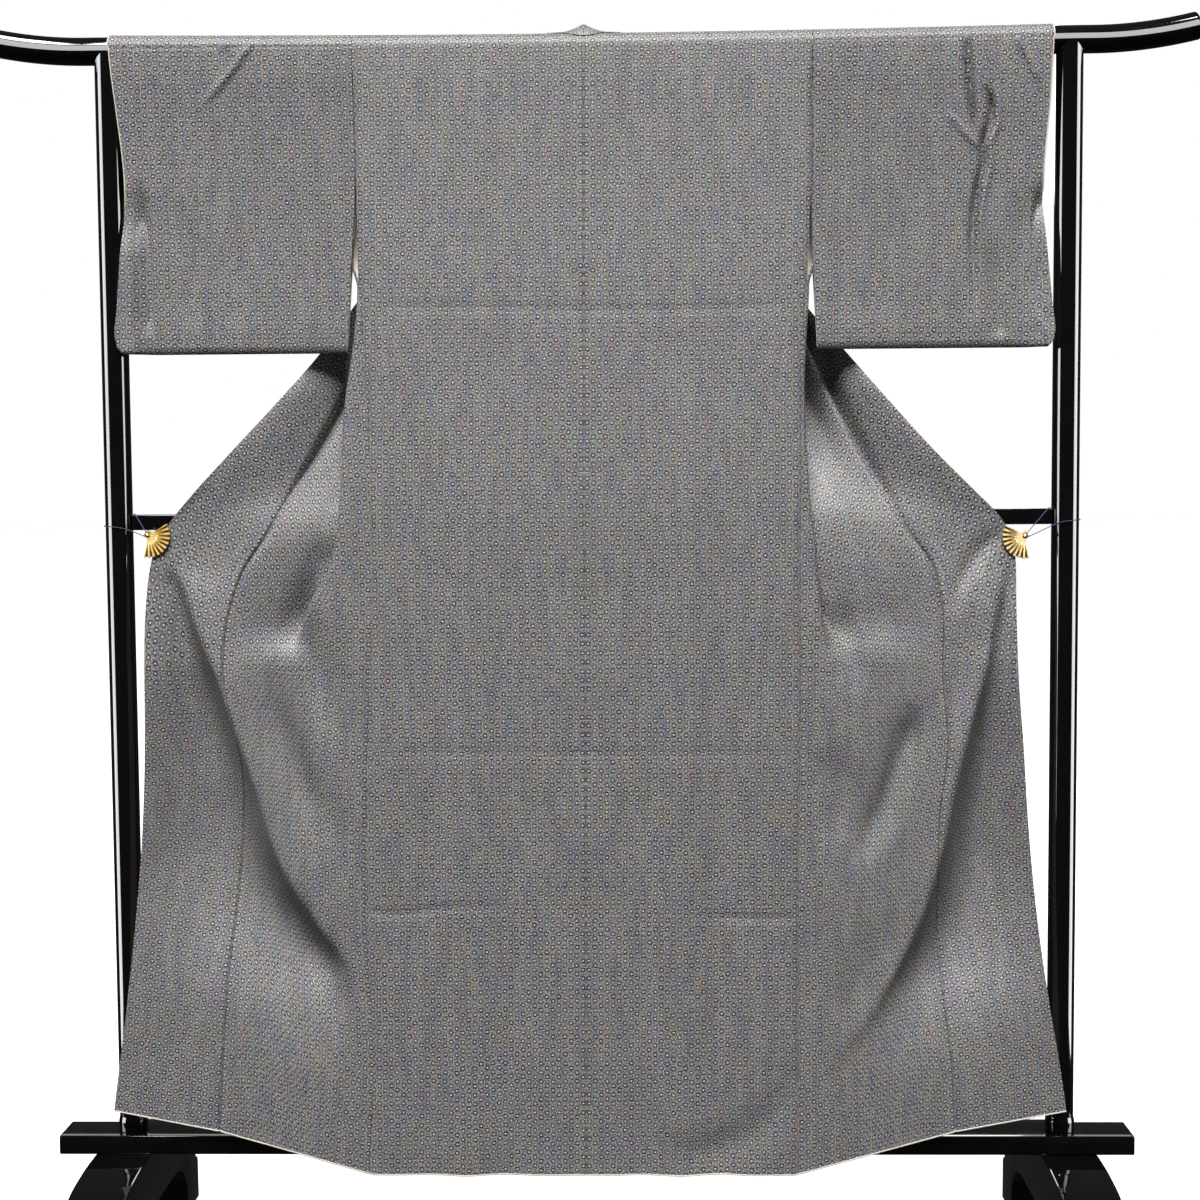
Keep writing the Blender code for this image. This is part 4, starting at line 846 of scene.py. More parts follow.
def front_row(side, nominal):
    """One section of a front, from the side edge to the overlap seam: out, y, down and cloth run.

    A heading is followed along the cloth: outwards (0) to the tuck, inwards (pi) behind the back,
    and outwards again after the inner fold, which lies where the width of the cloth puts it.
    """
    down_side, down_seam = drop(nominal, HEM), drop(nominal, HEM_AT_SEAM)
    start = float(read(BACK, side + "_side", down_side))
    start += LINING_REACH * float(ramp(nominal, *REACH_STARTS) * (1 - ramp(nominal, *REACH_ENDS)))
    end = float(read(FRONT, side + "_seam", down_seam)) - SEAM_HALF_GAP
    width = float(read(FRONT, side + "_width", down_seam))
    tuck = float(read(FRONT, side + "_tuck", nominal))
    band = float(read(FRONT, side + "_band", nominal))
    curled = float(ramp(nominal, *CURLS))
    folded = 1 - float(ramp(nominal, UNFOLDS, SETTLED))

    arc_1, arc_2 = math.pi * TUCK_ROUND, math.pi * FOLD_ROUND
    turn_1 = tuck
    turn_2 = (start + 2 * tuck + arc_1 + width - arc_2 - end) / 2
    turn_2 = min(max(turn_2, turn_1 + arc_1 + LEAST_LAP * folded), width - arc_2 - LEAST_FRONT)
    after = turn_2 + arc_2
    ridge = max(width - band, after + LEAST_RIDGE)
    marks = [0.0, turn_1 / 2, turn_1, turn_1 + arc_1 / 2, turn_1 + arc_1]
    marks += [turn_1 + arc_1 + (turn_2 - turn_1 - arc_1) * t for t in (0.2, 0.4, 0.6, 0.8, 1.0)]
    marks += [turn_2 + arc_2 / 3, turn_2 + 2 * arc_2 / 3]
    marks += [after + (ridge - after) * t for t in (0.0, 0.25, 0.5, 0.75, 1.0)]
    marks += [width]
    marks = np.array(marks)
    count = np.arange(len(marks))
    marks = np.maximum.accumulate(np.maximum(marks, count * LEAST_STEP))
    marks = np.minimum(marks, width - (count[-1] - count) * LEAST_STEP)
    marks = marks + (np.linspace(0, width, len(marks)) - marks) * ramp(nominal, *EVENS_OUT)
    marks = split(marks, COLUMN_SPLITS)

    run = np.linspace(0, width, SECTION_STEPS)
    first = np.clip((run - turn_1) / arc_1, 0, 1)
    second = np.clip((run - turn_2) / arc_2, 0, 1)
    heading = math.pi * folded * (1 - curled * (1 - first) - second)
    half = (heading[1:] + heading[:-1]) / 2
    turning = ((run > turn_1) & (run < turn_1 + arc_1)) | ((run > turn_2) & (run < after))
    sideways = np.sin(half) * np.where(turning[1:], 1.0, FLAT_SLOPE)
    x_run = start + np.concatenate(([0], np.cumsum(np.cos(half)))) * run[1]
    y_run = np.concatenate(([0], np.cumsum(sideways))) * run[1]
    x = np.interp(marks, run, x_run)
    x += (end - x[-1]) * np.clip((marks - turn_2) / (width - turn_2), 0, 1)

    y_side = float(depth("side", nominal))
    at_fold, at_ridge, at_seam = np.interp((turn_2, ridge, width), run, y_run)
    lean_fold = max(float(depth("fold", nominal)) - y_side - at_fold, 0.0)
    lean_ridge = float(depth("ridge", nominal)) - y_side - at_ridge
    lean_seam = float(depth("seam", nominal)) - y_side - at_seam
    y = y_side + np.interp(marks, run, y_run) + np.interp(
        marks, (0, turn_1 + arc_1, turn_2, after, ridge, width),
        (0, 0, lean_fold, lean_fold, lean_ridge, lean_seam))
    down = down_side + (down_seam - down_side) * marks / width
    y = y + long_fold(side, down, x) * ramp(marks, 0.01, 0.06)
    return np.stack((x, y, down, marks), axis=1)


def seam_line(side):
    """The overlap seam's slope (angle from upright) and run along the seam, for any level.

    The slope is smoothed over a third of the front by a bell of weights.
    """
    levels = np.linspace(0, LOWEST, 400)
    out = read(FRONT, side + "_seam", drop(levels, HEM_AT_SEAM))
    reach = 70
    bell = np.hanning(2 * reach + 1)
    slope = np.pad(np.gradient(out, levels), reach, mode="edge")
    slope = np.convolve(slope, bell / bell.sum(), mode="valid")
    run = np.concatenate(([0], np.cumsum(np.sqrt(1 + slope[:-1] ** 2) * np.diff(levels))))
    return lambda at: (np.interp(at, levels, np.arctan(slope)), np.interp(at, levels, run))


def groove(away, deep, wide):
    """The valley along a sewn seam: deepest at the seam, gone a little way from it (a bell)."""
    return deep * np.exp(-(away / wide) ** 2)


def clear_of_mid_rail(y, down):
    """Keep the fronts before the middle rail: the lesser of their depth and a limit that opens out
    at a slope above and below the rail, with the bend between them rounded (half the sum less half
    the root of the difference squared plus a little)."""
    above = np.abs(down - (SHOULDER_Z - MID_Z)) - MID_HEIGHT / 2 - RAIL_ROOM
    limit = -MID_DEPTH / 2 - RAIL_ROOM + RAIL_APPROACH * np.maximum(above, 0)
    return (y + limit - np.sqrt((y - limit) ** 2 + RAIL_SOFT ** 2)) / 2


def levels_between(start, stop, step):
    """Even levels from start to stop, about a step apart."""
    return np.linspace(start, stop, max(int(round((stop - start) / step)), 1) + 1)


def back_depth(side, level, share):
    """How far the back stands, with the soft waves of its lower half."""
    calm = np.sin(math.pi * share) ** 2
    wave = np.sin(2 * math.pi * (BACK_WAVES * share + BACK_WAVE_TURN * SIDES[side]))
    return -read(BACK, "forward", level) - BACK_WAVE * ramp(level, *BACK_WAVE_FROM) * calm * wave


def body(side):
    """Back and front of one side in one cloth over the rail: rows from the back's hem upwards,
    over the rail, and down the front; columns from the side edge to centre seam or overlap seam."""
    sign = SIDES[side]
    fold_row = front_row(side, FOLD_FROM)
    spans = fold_row[0, 0] - fold_row[:FOLDED_COLUMN + 1, 0]
    spans = spans / spans[-1]
    even = np.linspace(0, 1, len(spans))
    neck = np.concatenate((np.linspace(1, 0.04, 22)[1:], (0.028, 0.018, 0.010, 0.004, 0.0)))
    most = max(len(spans) + len(neck), sum(COLUMN_SPLITS) + 1)
    rows, cloth_uv = [], []

    def spread(over):
        """The columns' places across: as in the first folded section near it, even on the back."""
        return spans + (even - spans) * ramp(over, -FOLD_FROM, 0.25)

    def add(x, y, z, across, along):
        """One more row of points, with its place on the silk."""
        line = np.full((most, 3), np.nan)
        line[:len(x)] = np.stack(np.broadcast_arrays(x, y, z), axis=-1)
        mark = np.zeros((most, 2))
        mark[:len(x)] = np.stack(np.broadcast_arrays(across, along), axis=-1)
        rows.append(line)
        cloth_uv.append(mark)

    for level in levels_between(0.07, HEM, BACK_STEP)[::-1]:
        edge = float(read(BACK, side + "_side", level))
        middle = sign * float(read(BACK, "centre", level)) + SEAM_HALF_GAP
        to_neck = (edge - NECK) / (edge - middle)
        share = np.concatenate((1 - spread(level) * to_neck, neck * (1 - to_neck)))
        out = middle + (edge - middle) * share
        y = back_depth(side, level, share)
        y += crease_depth("back", sign * out, np.full(out.shape, level))
        y += groove(out - middle, *CENTRE_SEAM) + groove(edge - out, *SIDE_SEAM)
        add(sign * out, y, SHOULDER_Z - level, out - middle, level)
    top_edge = BACK[side + "_side"][0]
    middle = SEAM_HALF_GAP - sign * NECK_SHIFT
    for angle in np.radians(np.linspace(0, 90, 11)):
        lap = -SHOULDER * (angle - math.pi / 2)
        out = top_edge - spread(lap) * (top_edge - NECK)
        inner = middle + float(read(NECKLINE, "out", math.degrees(angle)))
        out = np.concatenate((out, NECK * neck + inner * (1 - neck)))
        add(sign * out, -SHOULDER * np.cos(angle), rail_line(out) + SHOULDER * np.sin(angle),
            out - middle, 0.02 - SHOULDER * angle)
    for angle in np.radians(np.linspace(90, 0, 11)[1:]):
        lap = SHOULDER * (angle - math.pi / 2)
        out = top_edge - spread(lap) * (top_edge - NECK)
        inner = middle + float(read(NECKLINE, "out", 180 - math.degrees(angle)))
        if inner < NECK - 0.004:
            out = np.concatenate((out, NECK * neck + inner * (1 - neck)))
        add(sign * out, SHOULDER * np.cos(angle), rail_line(out) + SHOULDER * np.sin(angle),
            out - middle, 0.02 - SHOULDER * math.pi / 2 + SHOULDER * (angle - math.pi / 2))
    line_of = seam_line(side)
    width_top = float(read(FRONT, side + "_width", 0.0))
    for nominal in (0.045, 0.062, 0.08, 0.097):
        edge = float(read(BACK, side + "_side", nominal))
        neck_edge = float(read(FRONT, side + "_seam", nominal)) - 0.0015
        y_side, y_neck = float(depth("side", nominal)), float(depth("fold", nominal))
        share = spread(-nominal)
        out = edge + (neck_edge - edge) * share
        add(sign * out, y_side + (y_neck - y_side) * share, SHOULDER_Z - nominal,
            share * (edge - neck_edge) - width_top + FRONT_PRINT, nominal)
    for nominal in levels_between(FOLD_FROM, LOWEST, FRONT_STEP):
        out, y, down, marks = front_row(side, nominal).T
        x = sign * out
        shown = np.arange(len(out)) >= OUTER_COLUMN
        settled = ramp(nominal, 0.80, SETTLED)
        press = crease_depth("front", x, down) * ramp(marks[-1] - marks, 0.0, SEAM_CALM)
        y = y + np.where(shown, press, press * settled)
        y = y + groove(marks[-1] - marks, read(VALLEY, side + "_deep", nominal),
                       read(VALLEY, side + "_body", nominal))
        y = y + groove(marks, *FRONT_SEAM) * settled
        y = np.where(shown, clear_of_mid_rail(y, down), y)
        angle, run = line_of(nominal)
        width = marks[-1]
        lean = angle * ramp(marks / width, 0.35, 1.0)
        along = nominal + (run - nominal) * ramp(marks / width, 0.2, 1.0)
        add(x, y, SHOULDER_Z - down, (marks - width) * np.cos(lean) + FRONT_PRINT,
            along + (marks - width) * np.sin(lean))
    grid, marks = np.array(rows), np.array(cloth_uv)
    piece = cloth("kimono_body_" + side, grid, marks, SILK_WALL, CLOTH_SLOTS)
    ride(piece, "silk", "body_" + side)
    hem_back = grid[0][~np.isnan(grid[0, :, 0])]
    hem_front = grid[-1][~np.isnan(grid[-1, :, 0])]
    return hem_back, hem_front


def overlap(side):
    """The narrow front panel between the overlap seam and the free edge.

    Its depth goes from the seam's to the edge's by a power of the distance, and the long fold,
    its own creases and the seam's valley are added.
    """
    sign = SIDES[side]
    line_of = seam_line(side)
    nominal = levels_between(0.22, LOWEST, FRONT_STEP)[:, None]
    share = np.concatenate((np.linspace(0, 0.10, 9)[:-1], np.linspace(0.10, 1, 46)))[None, :]
    down_seam, down_edge = drop(nominal, HEM_AT_SEAM), drop(nominal, HEM_AT_EDGE)
    start = read(FRONT, side + "_seam", down_seam) + SEAM_HALF_GAP
    end = read(FRONT, side + "_edge", down_edge)
    y_seam, y_edge = depth("seam", nominal), depth("edge", nominal)
    out = start + (end - start) * share
    down = down_seam + (down_edge - down_seam) * share
    y = y_edge + (y_seam - y_edge) * (1 - share) ** OVERLAP_BOW
    y = y + long_fold(side, down, out) * (1 - EDGE_SHARE * share ** 4)
    press = crease_depth("overlap", sign * out, down) * (1 - share ** 6)
    y = y + press * ramp(out - start, 0.0, OVERLAP_CALM)
    y = y + groove(out - start, read(VALLEY, side + "_deep", nominal),
                   read(VALLEY, side + "_lap", nominal))
    y = clear_of_mid_rail(y, down)
    grid = np.stack((sign * out, y, SHOULDER_Z - down), axis=-1)
    angle, run = line_of(nominal)
    uv = np.stack(np.broadcast_arrays((out - start) * np.cos(angle) + OVERLAP_PRINT,
                                      run + (out - start) * np.sin(angle)), axis=-1)
    piece = cloth("kimono_overlap_" + side, grid, uv, SILK_WALL, CLOTH_SLOTS)
    ride(piece, "silk", "overlap_" + side)
    return grid[-1], grid[:, -1]


# ---------------------------------------------------------------- sleeves
def sleeve(side):
    """A sleeve: one cloth over the rail, its two layers joined at the bottom.

    Each layer stands half the table's space off the middle; below the cuff's opening its outer
    edge is pinched together and steps forward past the post.
    """
    sign = SIDES[side]
    share = np.linspace(0, 1, 120)[None, :]
    levels = np.concatenate((levels_between(0.02, 0.425, SLEEVE_STEP),
                             (0.428, 0.431, 0.434, 0.437, 0.439, 0.441, 0.4425)))[:, None]

    def layer(way):
        """The layer in front (-1) or behind (1), as a grid of levels and places across."""
        inner = read(SLEEVE, side + "_in", levels)
        outer = read(SLEEVE, side + "_out", levels)
        half = read(SLEEVE, "half_gap", levels)
        out = inner + (outer - inner) * share
        pinch = ramp(levels, CUFF - 0.02, CUFF + 0.05) * ramp(share, 0.80, 1.0)
        swell = half * (1 - pinch) + np.minimum(half, PINCHED) * pinch
        aside = -PAST_POST * ramp(out, *PASSING_OUT) * ramp(levels, *PASSING_DOWN)
        y = read(SLEEVE, "middle", levels) + aside + way * swell
        press = crease_depth("sleeve", sign * out, np.broadcast_to(levels, out.shape))
        room = np.minimum(0.2 * np.maximum(levels - 0.045, 0), np.maximum(2 * swell - 0.003, 0))
        press = np.minimum(press, room) * (1.0 if way < 0 else REAR_CREASES)
        y = y + press * (1 - ramp(levels, 0.41, 0.44)) * ramp(levels, 0.005, 0.030)
        return np.stack(np.broadcast_arrays(sign * out, y, SHOULDER_Z - levels), axis=-1)

    angle = np.radians(np.linspace(0, 180, 23))[:, None]
    top_in, top_out = SLEEVE[side + "_in"][0], SLEEVE[side + "_out"][0]
    out = top_in + (top_out - top_in) * share
    over = np.stack(np.broadcast_arrays(sign * out, -SHOULDER * np.cos(angle),
                                        rail_line(out) + SHOULDER * np.sin(angle)), axis=-1)
    grid = np.concatenate((layer(-1.0)[::-1], over, layer(1.0)))
    middle = grid[:, share.size // 2]
    step = np.linalg.norm(np.diff(middle, axis=0), axis=1)
    run = np.concatenate(([0], np.cumsum(step)))[:, None]
    uv = np.stack(np.broadcast_arrays(np.abs(grid[..., 0]) + SLEEVE_PRINT * sign, run), axis=-1)
    piece = cloth("kimono_sleeve_" + side, grid, uv, SILK_WALL, CLOTH_SLOTS, closed=True)
    ride(piece, "silk", "sleeve_" + side)
    heights = SHOULDER_Z - grid[:, -1, 2]
    return grid[heights < CUFF, -1]


# ---------------------------------------------------------------- collar
def collar(side):
    """Half of the folded band: over the rail at the neck, then behind one free edge.

    Down the front each row runs square to the edge, at the depth of the overlap and front before
    it, with a wider valley and calmer creases, and a little further back.
    """
    sign = SIDES[side]
    across = np.array((0.0, 0.25, 0.5, 0.75, 1.0))
    rows = []
    for out, drawn_in, *dots in NECK_ARCH:
        rows.append([(sign * (max(out, SEAM_HALF_GAP) - out * drawn_in * t) - NECK_SHIFT, y, z)
                     for t, (y, z) in zip(across, dots)])
    for nominal in COLLAR_LEVELS:
        edge, before, after = (float(read(FRONT, side + "_edge", nominal + step))
                               for step in (0.0, -0.01, 0.01))
        slope = (after - before) / 0.02
        length = math.hypot(1, slope)
        inward, downward = -1 / length, slope / length
        reach = COLLAR_WIDTH * across
        out, down = edge + inward * reach, nominal + downward * reach
        start, end = (read(FRONT, side + part, down) for part in ("_seam", "_edge"))
        share = np.clip((out - start) / (end - start), 0, 1)
        y_seam, y_edge = depth("seam", down), depth("edge", down)
        y = y_edge + (y_seam - y_edge) * (1 - share) ** OVERLAP_BOW
        valley = groove(out - start, read(VALLEY, side + "_deep", down), COLLAR_VALLEY)
        y = y + valley * ramp(down, *COLLAR_VALLEY_FROM)
        y = y + crease_depth("front", sign * out, down) * ramp(start - out, 0.0, SEAM_CALM)
        y = clear_of_mid_rail(y, down) + COLLAR_BEHIND * (1 - ramp(down, *COLLAR_PRESSED) / 2)
        y = y + COLLAR_LEAN * across * (1 - ramp(down, *COLLAR_UPRIGHT))
        rows.append(np.stack((sign * out, y, SHOULDER_Z - down), axis=-1).tolist())
    grid = refine(np.array(rows), 130, 13)
    run = np.concatenate(([0], np.cumsum(np.linalg.norm(np.diff(grid[:, 6], axis=0), axis=1))))
    uv = np.stack(np.broadcast_arrays(np.linspace(0, COLLAR_WIDTH, 13)[None, :] + COLLAR_PRINT,
                                      run[:, None]), axis=-1)
    piece = cloth("kimono_collar_" + side, grid, uv, BAND_WALL, (SILK, SILK, SILK))
    ride(piece, "silk", "collar_" + side)


def turned_edge(name, line, radius):
    """The cream roll of lining that shows along a hem or a cuff."""
    ride(tube(name, smooth_path(line, 90), radius, 8, (EDGE,)), "silk")


# ---------------------------------------------------------------- the stand
def top_rail():
    """A round rail whose ends rise in a soft curve and are cut square, their rims eased."""
    x = np.concatenate((np.linspace(-RAIL_TIP, -RAIL_BEND, 34), np.linspace(-0.68, 0.68, 61),
                        np.linspace(RAIL_BEND, RAIL_TIP, 34)))
    path = np.stack((x, 0 * x, rail_line(x)), axis=1)
    ease = np.radians((0, 22.5, 45, 67.5, 90))
    outward = (path[-1] - path[-2]) / np.linalg.norm(path[-1] - path[-2])
    ends, radii = [], []
    for angle in ease[1:]:
        ends.append(path[-1] - outward * TIP_ROUND * (1 - math.sin(angle)))
        radii.append(RAIL_RADIUS - TIP_ROUND * (1 - math.cos(angle)))
    ends, radii = np.array(ends), np.array(radii)
    path[-1] = path[-1] - outward * TIP_ROUND
    mirrored = ends[::-1] * (-1, 1, 1)
    path[0] = path[-1] * (-1, 1, 1)
    whole = np.concatenate((mirrored, path, ends))
    size = np.concatenate((radii[::-1], np.full(len(path), RAIL_RADIUS), radii))
    ride(tube("lacquer_rail", whole, size, 64, (LACQUER,), sharp=60), "lacquer", "top_rail")


def turned(name, profile, centre, around, materials, along="z", sharp=40):
    """A turned piece: rings of each radius at each height, its axis along Z or towards -Y."""
    turn = np.linspace(0, 2 * math.pi, around, endpoint=False)
    radius = np.array([max(r, 1e-5) for r, _ in profile])[:, None]
    height = np.array([h for _, h in profile])[:, None]
    a, b, c = np.broadcast_arrays(radius * np.cos(turn), radius * np.sin(turn), height)
    rings = np.stack((a, b, c), axis=-1) if along == "z" else np.stack((a, -c, b), axis=-1)
    return ringed(name, rings + np.asarray(centre), materials, sharp=sharp)


def posts(side):
    """A straight round post with a low ring at its foot."""
    foot_z = BEAM_TOP + GAP
    ring_z = foot_z + BASE_HEIGHT
    slope = np.linspace(0, 1, 9)
    profile = [(BASE_RADIUS - 0.0008, foot_z), (BASE_RADIUS, foot_z + 0.0008)]
    profile += [(BASE_RADIUS + (POST_RADIUS - BASE_RADIUS) * float(ramp(t, 0, 1)),
                 ring_z + BASE_SLOPE * (2 * t - 1)) for t in slope]
    profile += [(POST_RADIUS, z) for z in np.linspace(ring_z + 0.03, POST_TOP, 12)]
    ride(turned("lacquer_post_" + side, profile, (SIDES[side] * POST_OUT, 0, 0), 72, (LACQUER,)),
         "lacquer", "post_" + side)


def bar(name, centre, size, node):
    """A rectangular bar along X with rounded edges: rounded-rectangle rings, drawn in at both
    ends over a quarter circle."""
    length, deep, high = size
    quarter_turn = np.radians(np.linspace(0, 90, 6))
    rings = []
    inner = np.linspace(-length / 2 + 2 * BAR_EASE, length / 2 - 2 * BAR_EASE, 12)
    ends = [(-length / 2 + BAR_EASE * (1 - math.cos(a)), BAR_EASE * (1 - math.sin(a)))
            for a in quarter_turn]
    spots = ends + [(x, 0.0) for x in inner] + [(-x, inset) for x, inset in ends[::-1]]
    for x, inset in spots:
        half_y, half_z = deep / 2 - inset, high / 2 - inset
        round_off = max(BAR_EASE - inset, 0.0004)
        ring = []
        for quarter, (sy, sz) in enumerate(((1, 1), (-1, 1), (-1, -1), (1, -1))):
            turn = quarter_turn + quarter * math.pi / 2
            ring.append(np.stack((0 * turn + x,
                                  sy * (half_y - round_off) + round_off * np.cos(turn),
                                  sz * (half_z - round_off) + round_off * np.sin(turn)), axis=1))
        rings.append(np.concatenate(ring))
    ride(ringed(name, np.array(rings) + np.asarray(centre), (LACQUER,), sharp=35), "lacquer", node)


def foot_outline():
    """The foot's outline seen from the side: smooth top, small nib, straight pad, smooth arch."""
    dots = np.array(FOOT_OUTLINE)
    top = smooth_path(dots[0:8], 26)
    nib = dots[8:10]
    pad = np.array(((0.235, 0.030), (0.235, 0.0), (0.200, 0.0), (0.165, 0.0)))
    arch = smooth_path(np.concatenate((dots[11:15], ((0.05, .0870),))), 18)[1:]
    half = np.concatenate((top, nib, pad, arch))
    middle = np.array(((0.0, .0870),))
    back = half[1:][::-1] * (-1, 1)
    return np.concatenate((half, middle, back))


def foot(side):
    """A foot along Y: its outline carried across the width, drawn in at both faces to ease them."""
    line = foot_outline()
    before, after = np.roll(line, 1, axis=0), np.roll(line, -1, axis=0)
    way = (after - before) / np.linalg.norm(after - before, axis=1, keepdims=True)
    normal = np.stack((-way[:, 1], way[:, 0]), axis=1)
    if ((line - line.mean(axis=0)) * normal).sum() < 0:
        normal = -normal
    rings = []
    ease = np.radians(np.linspace(0, 90, 6))
    spots = [(-FOOT_WIDTH / 2 + FOOT_EASE * (1 - math.cos(a)), FOOT_EASE * (1 - math.sin(a)))
             for a in ease]
    spots += [(x, 0.0) for x in np.linspace(-0.03, 0.03, 5)]
    spots += [(-x, inset) for x, inset in spots[:6][::-1]]
    for x, inset in spots:
        moved = line - normal * inset
        moved[:, 1] = np.maximum(moved[:, 1], 0.0)       # the pads stay on the floor
        rings.append(np.stack((0 * moved[:, 0] + x + SIDES[side] * FOOT_OUT,
                               moved[:, 0], moved[:, 1]), axis=1))
    ride(ringed("lacquer_foot_" + side, np.array(rings), (LACQUER,), sharp=38), "lacquer",
         "foot_" + side)


# ---------------------------------------------------------------- clips and ties
def fan(side):
    """The clip's folding fan: a thin plate whose ribs stand up outside its smooth middle.

    Seen along an angle, the front face is a row of rounded ribs; the rim steps in between them.
    """
    sign = SIDES[side]
    x0, z0 = sign * CLIPS[side]["out"], SHOULDER_Z - CLIPS[side]["down"]
    back = CLIP_Y - HALF_CLOTH - GAP
    t = np.linspace(0, 1, FAN_RIBS * 14 + 1)[:, None]
    angle = FAN_FROM + (FAN_TO - FAN_FROM) * t
    r = np.array((.0032, .006, .009, .0118, .0132, .0150, .020, .025, .029, .0312, FAN_RADIUS))
    wave = np.cos(2 * math.pi * FAN_RIBS * t)
    rib = ramp(wave, -0.55, 0.15)
    rib = np.maximum(rib, 1 - ramp(np.minimum(t, 1 - t), 0.0, 0.035))
    reach = r[None, :] - FAN_STEP * (1 - rib) * ramp(r[None, :], .028, FAN_RADIUS)
    lift = FAN_RELIEF * rib * ramp(r, .0100, .0220)[None, :]
    lift = lift * (1 - 0.4 * (r == FAN_RADIUS))[None, :]
    way_x, way_z = -sign * np.cos(angle), np.sin(angle)
    front = np.stack((x0 + way_x * reach, back - FAN_PLATE - lift, z0 + way_z * reach), axis=-1)
    rear = np.stack(np.broadcast_arrays(x0 + way_x * reach, back, z0 + way_z * reach), axis=-1)
    rings = np.concatenate((front, rear[:, ::-1]), axis=1)
    uv = np.stack(np.broadcast_arrays(t * FAN_RIBS, np.concatenate((r, r[::-1]))[None, :] * 1000),
                  axis=-1).reshape(-1, 2)
    piece = ringed("fan_" + side, rings, (RIBBED[side],), uv=uv, sharp=30)
    ride(piece, "gilt", "clip_fan_" + side)


def jaw_and_pin(side):
    """The pin with its knob in front and the sprung jaw behind the cloth."""
    sign = SIDES[side]
    x0, z0 = sign * CLIPS[side]["out"], SHOULDER_Z - CLIPS[side]["down"]
    fan_front = CLIP_Y - HALF_CLOTH - GAP - FAN_SOLID
    jaw_front = CLIP_Y + HALF_CLOTH + JAW_ROOM
    knob = fan_front - PIN_GROOVE
    profile = [(0.0, GAP - jaw_front), (PIN_RADIUS, GAP - jaw_front), (PIN_RADIUS, -knob)]
    profile += [(KNOB_RADIUS * math.cos(a) ** 0.6, 0.0002 - knob + 0.0034 * math.sin(a))
                for a in np.radians(np.linspace(0, 88, 10))]
    pin = turned("clip_knob_" + side, profile, (x0, 0, z0), 28, (GILT[side],), along="y")
    ride(pin, "gilt", "clip_pin_" + side)
    for socket in frame["nodes"]["clip_jaw_" + side].material_slots:
        socket.material = GILT[side]


def tie(side):
    """The cord from the clip's pin round the post and back over the middle rail."""
    sign = SIDES[side]
    pin_out, pin_z = CLIPS[side]["out"], SHOULDER_Z - CLIPS[side]["down"]
    loop_y = CLIP_Y - HALF_CLOTH - GAP - FAN_SOLID - PIN_GROOVE / 2
    route = []
    for turn in np.radians(np.arange(60, 301, 24)):
        route.append((pin_out + PIN_LOOP * math.cos(turn), loop_y,
                      pin_z + PIN_LOOP * math.sin(turn)))
    for angle in range(-45, 246, 15):
        turn = math.radians(angle)
        height = float(np.interp(angle, TIE_TURNS["angle"], TIE_TURNS["height"]))
        route.append((POST_OUT + TIE_RADIUS * math.sin(turn), -TIE_RADIUS * math.cos(turn), height))
    route += list(TIE_OVER_RAIL)
    route.append(route[0])
    path = np.array(route) * (sign, 1, 1)
    steps = np.concatenate(([0], np.cumsum(np.linalg.norm(np.diff(path, axis=0), axis=1))))
    even = np.linspace(0, steps[-1], 240)
    fine = np.stack([np.interp(even, steps, path[:, k]) for k in range(3)], axis=1)
    ride(tube("tie_cord_" + side, fine, TIE / 2, 8, (CORD,)), "cord", "tie_" + side)


# ---------------------------------------------------------------- put together
top_rail()
bar("lacquer_mid_rail", (0, 0, MID_Z), (2 * (POST_OUT - POST_RADIUS - GAP), MID_DEPTH, MID_HEIGHT),
    "mid_rail")
bar("lacquer_beam", (0, 0, BEAM_TOP - BEAM_HEIGHT / 2), (BEAM_LENGTH, BEAM_DEPTH, BEAM_HEIGHT),
    "bottom_beam")
for each in SIDES:
    posts(each)
    foot(each)
    hem_back, hem_front = body(each)
    hem_overlap, free_edge = overlap(each)
    cuff = sleeve(each)
    collar(each)
    turned_edge("hem_roll_back_" + each, hem_back, HEM_ROLL)
    turned_edge("hem_roll_front_" + each, hem_front, HEM_ROLL)
    turned_edge("hem_roll_overlap_" + each, hem_overlap, HEM_ROLL)
    turned_edge("cuff_roll_" + each, cuff, CUFF_ROLL)
    fan(each)
    jaw_and_pin(each)
    tie(each)

# ---------------------------------------------------------------- room, light and camera
CAMERA = (0.0683, -2.500, 1.1193)
CAMERA_YAW = 1.243           # degrees to the left
CAMERA_PITCH = 3.596         # degrees down
CAMERA_ROLL = -0.411
LENS = 53.0


def aimed(place, target):
    """A matrix at a place whose -Z looks at a target."""
    turn = (Vector(target) - Vector(place)).to_track_quat("-Z", "Y")
    return Matrix.Translation(place) @ turn.to_matrix().to_4x4()


def soft_light(name, place, target, size, power):
    """A white rectangular light that looks at a target."""
    lamp = bpy.data.lights.new(name, "AREA")
    lamp.shape = "RECTANGLE"
    lamp.size, lamp.size_y = size
    lamp.energy = power
    holder = bpy.data.objects.new(name, lamp)
    holder.matrix_world = aimed(place, target)
    bpy.context.scene.collection.objects.link(holder)


def card(name, place, target, size, brightness, parts):
    """A softbox seen in the gloss of some parts alone; its power follows from its brightness."""
    soft_light(name, place, target, size, brightness * math.pi * size[0] * size[1])
    holder = bpy.context.scene.objects[name]
    holder.visible_diffuse = False
    shiny = bpy.data.collections.new(name + "_on")
    for thing in bpy.context.scene.objects:
        if thing.type == "MESH" and thing.name.startswith(parts):
            shiny.objects.link(thing)
    holder.light_linking.receiver_collection = shiny


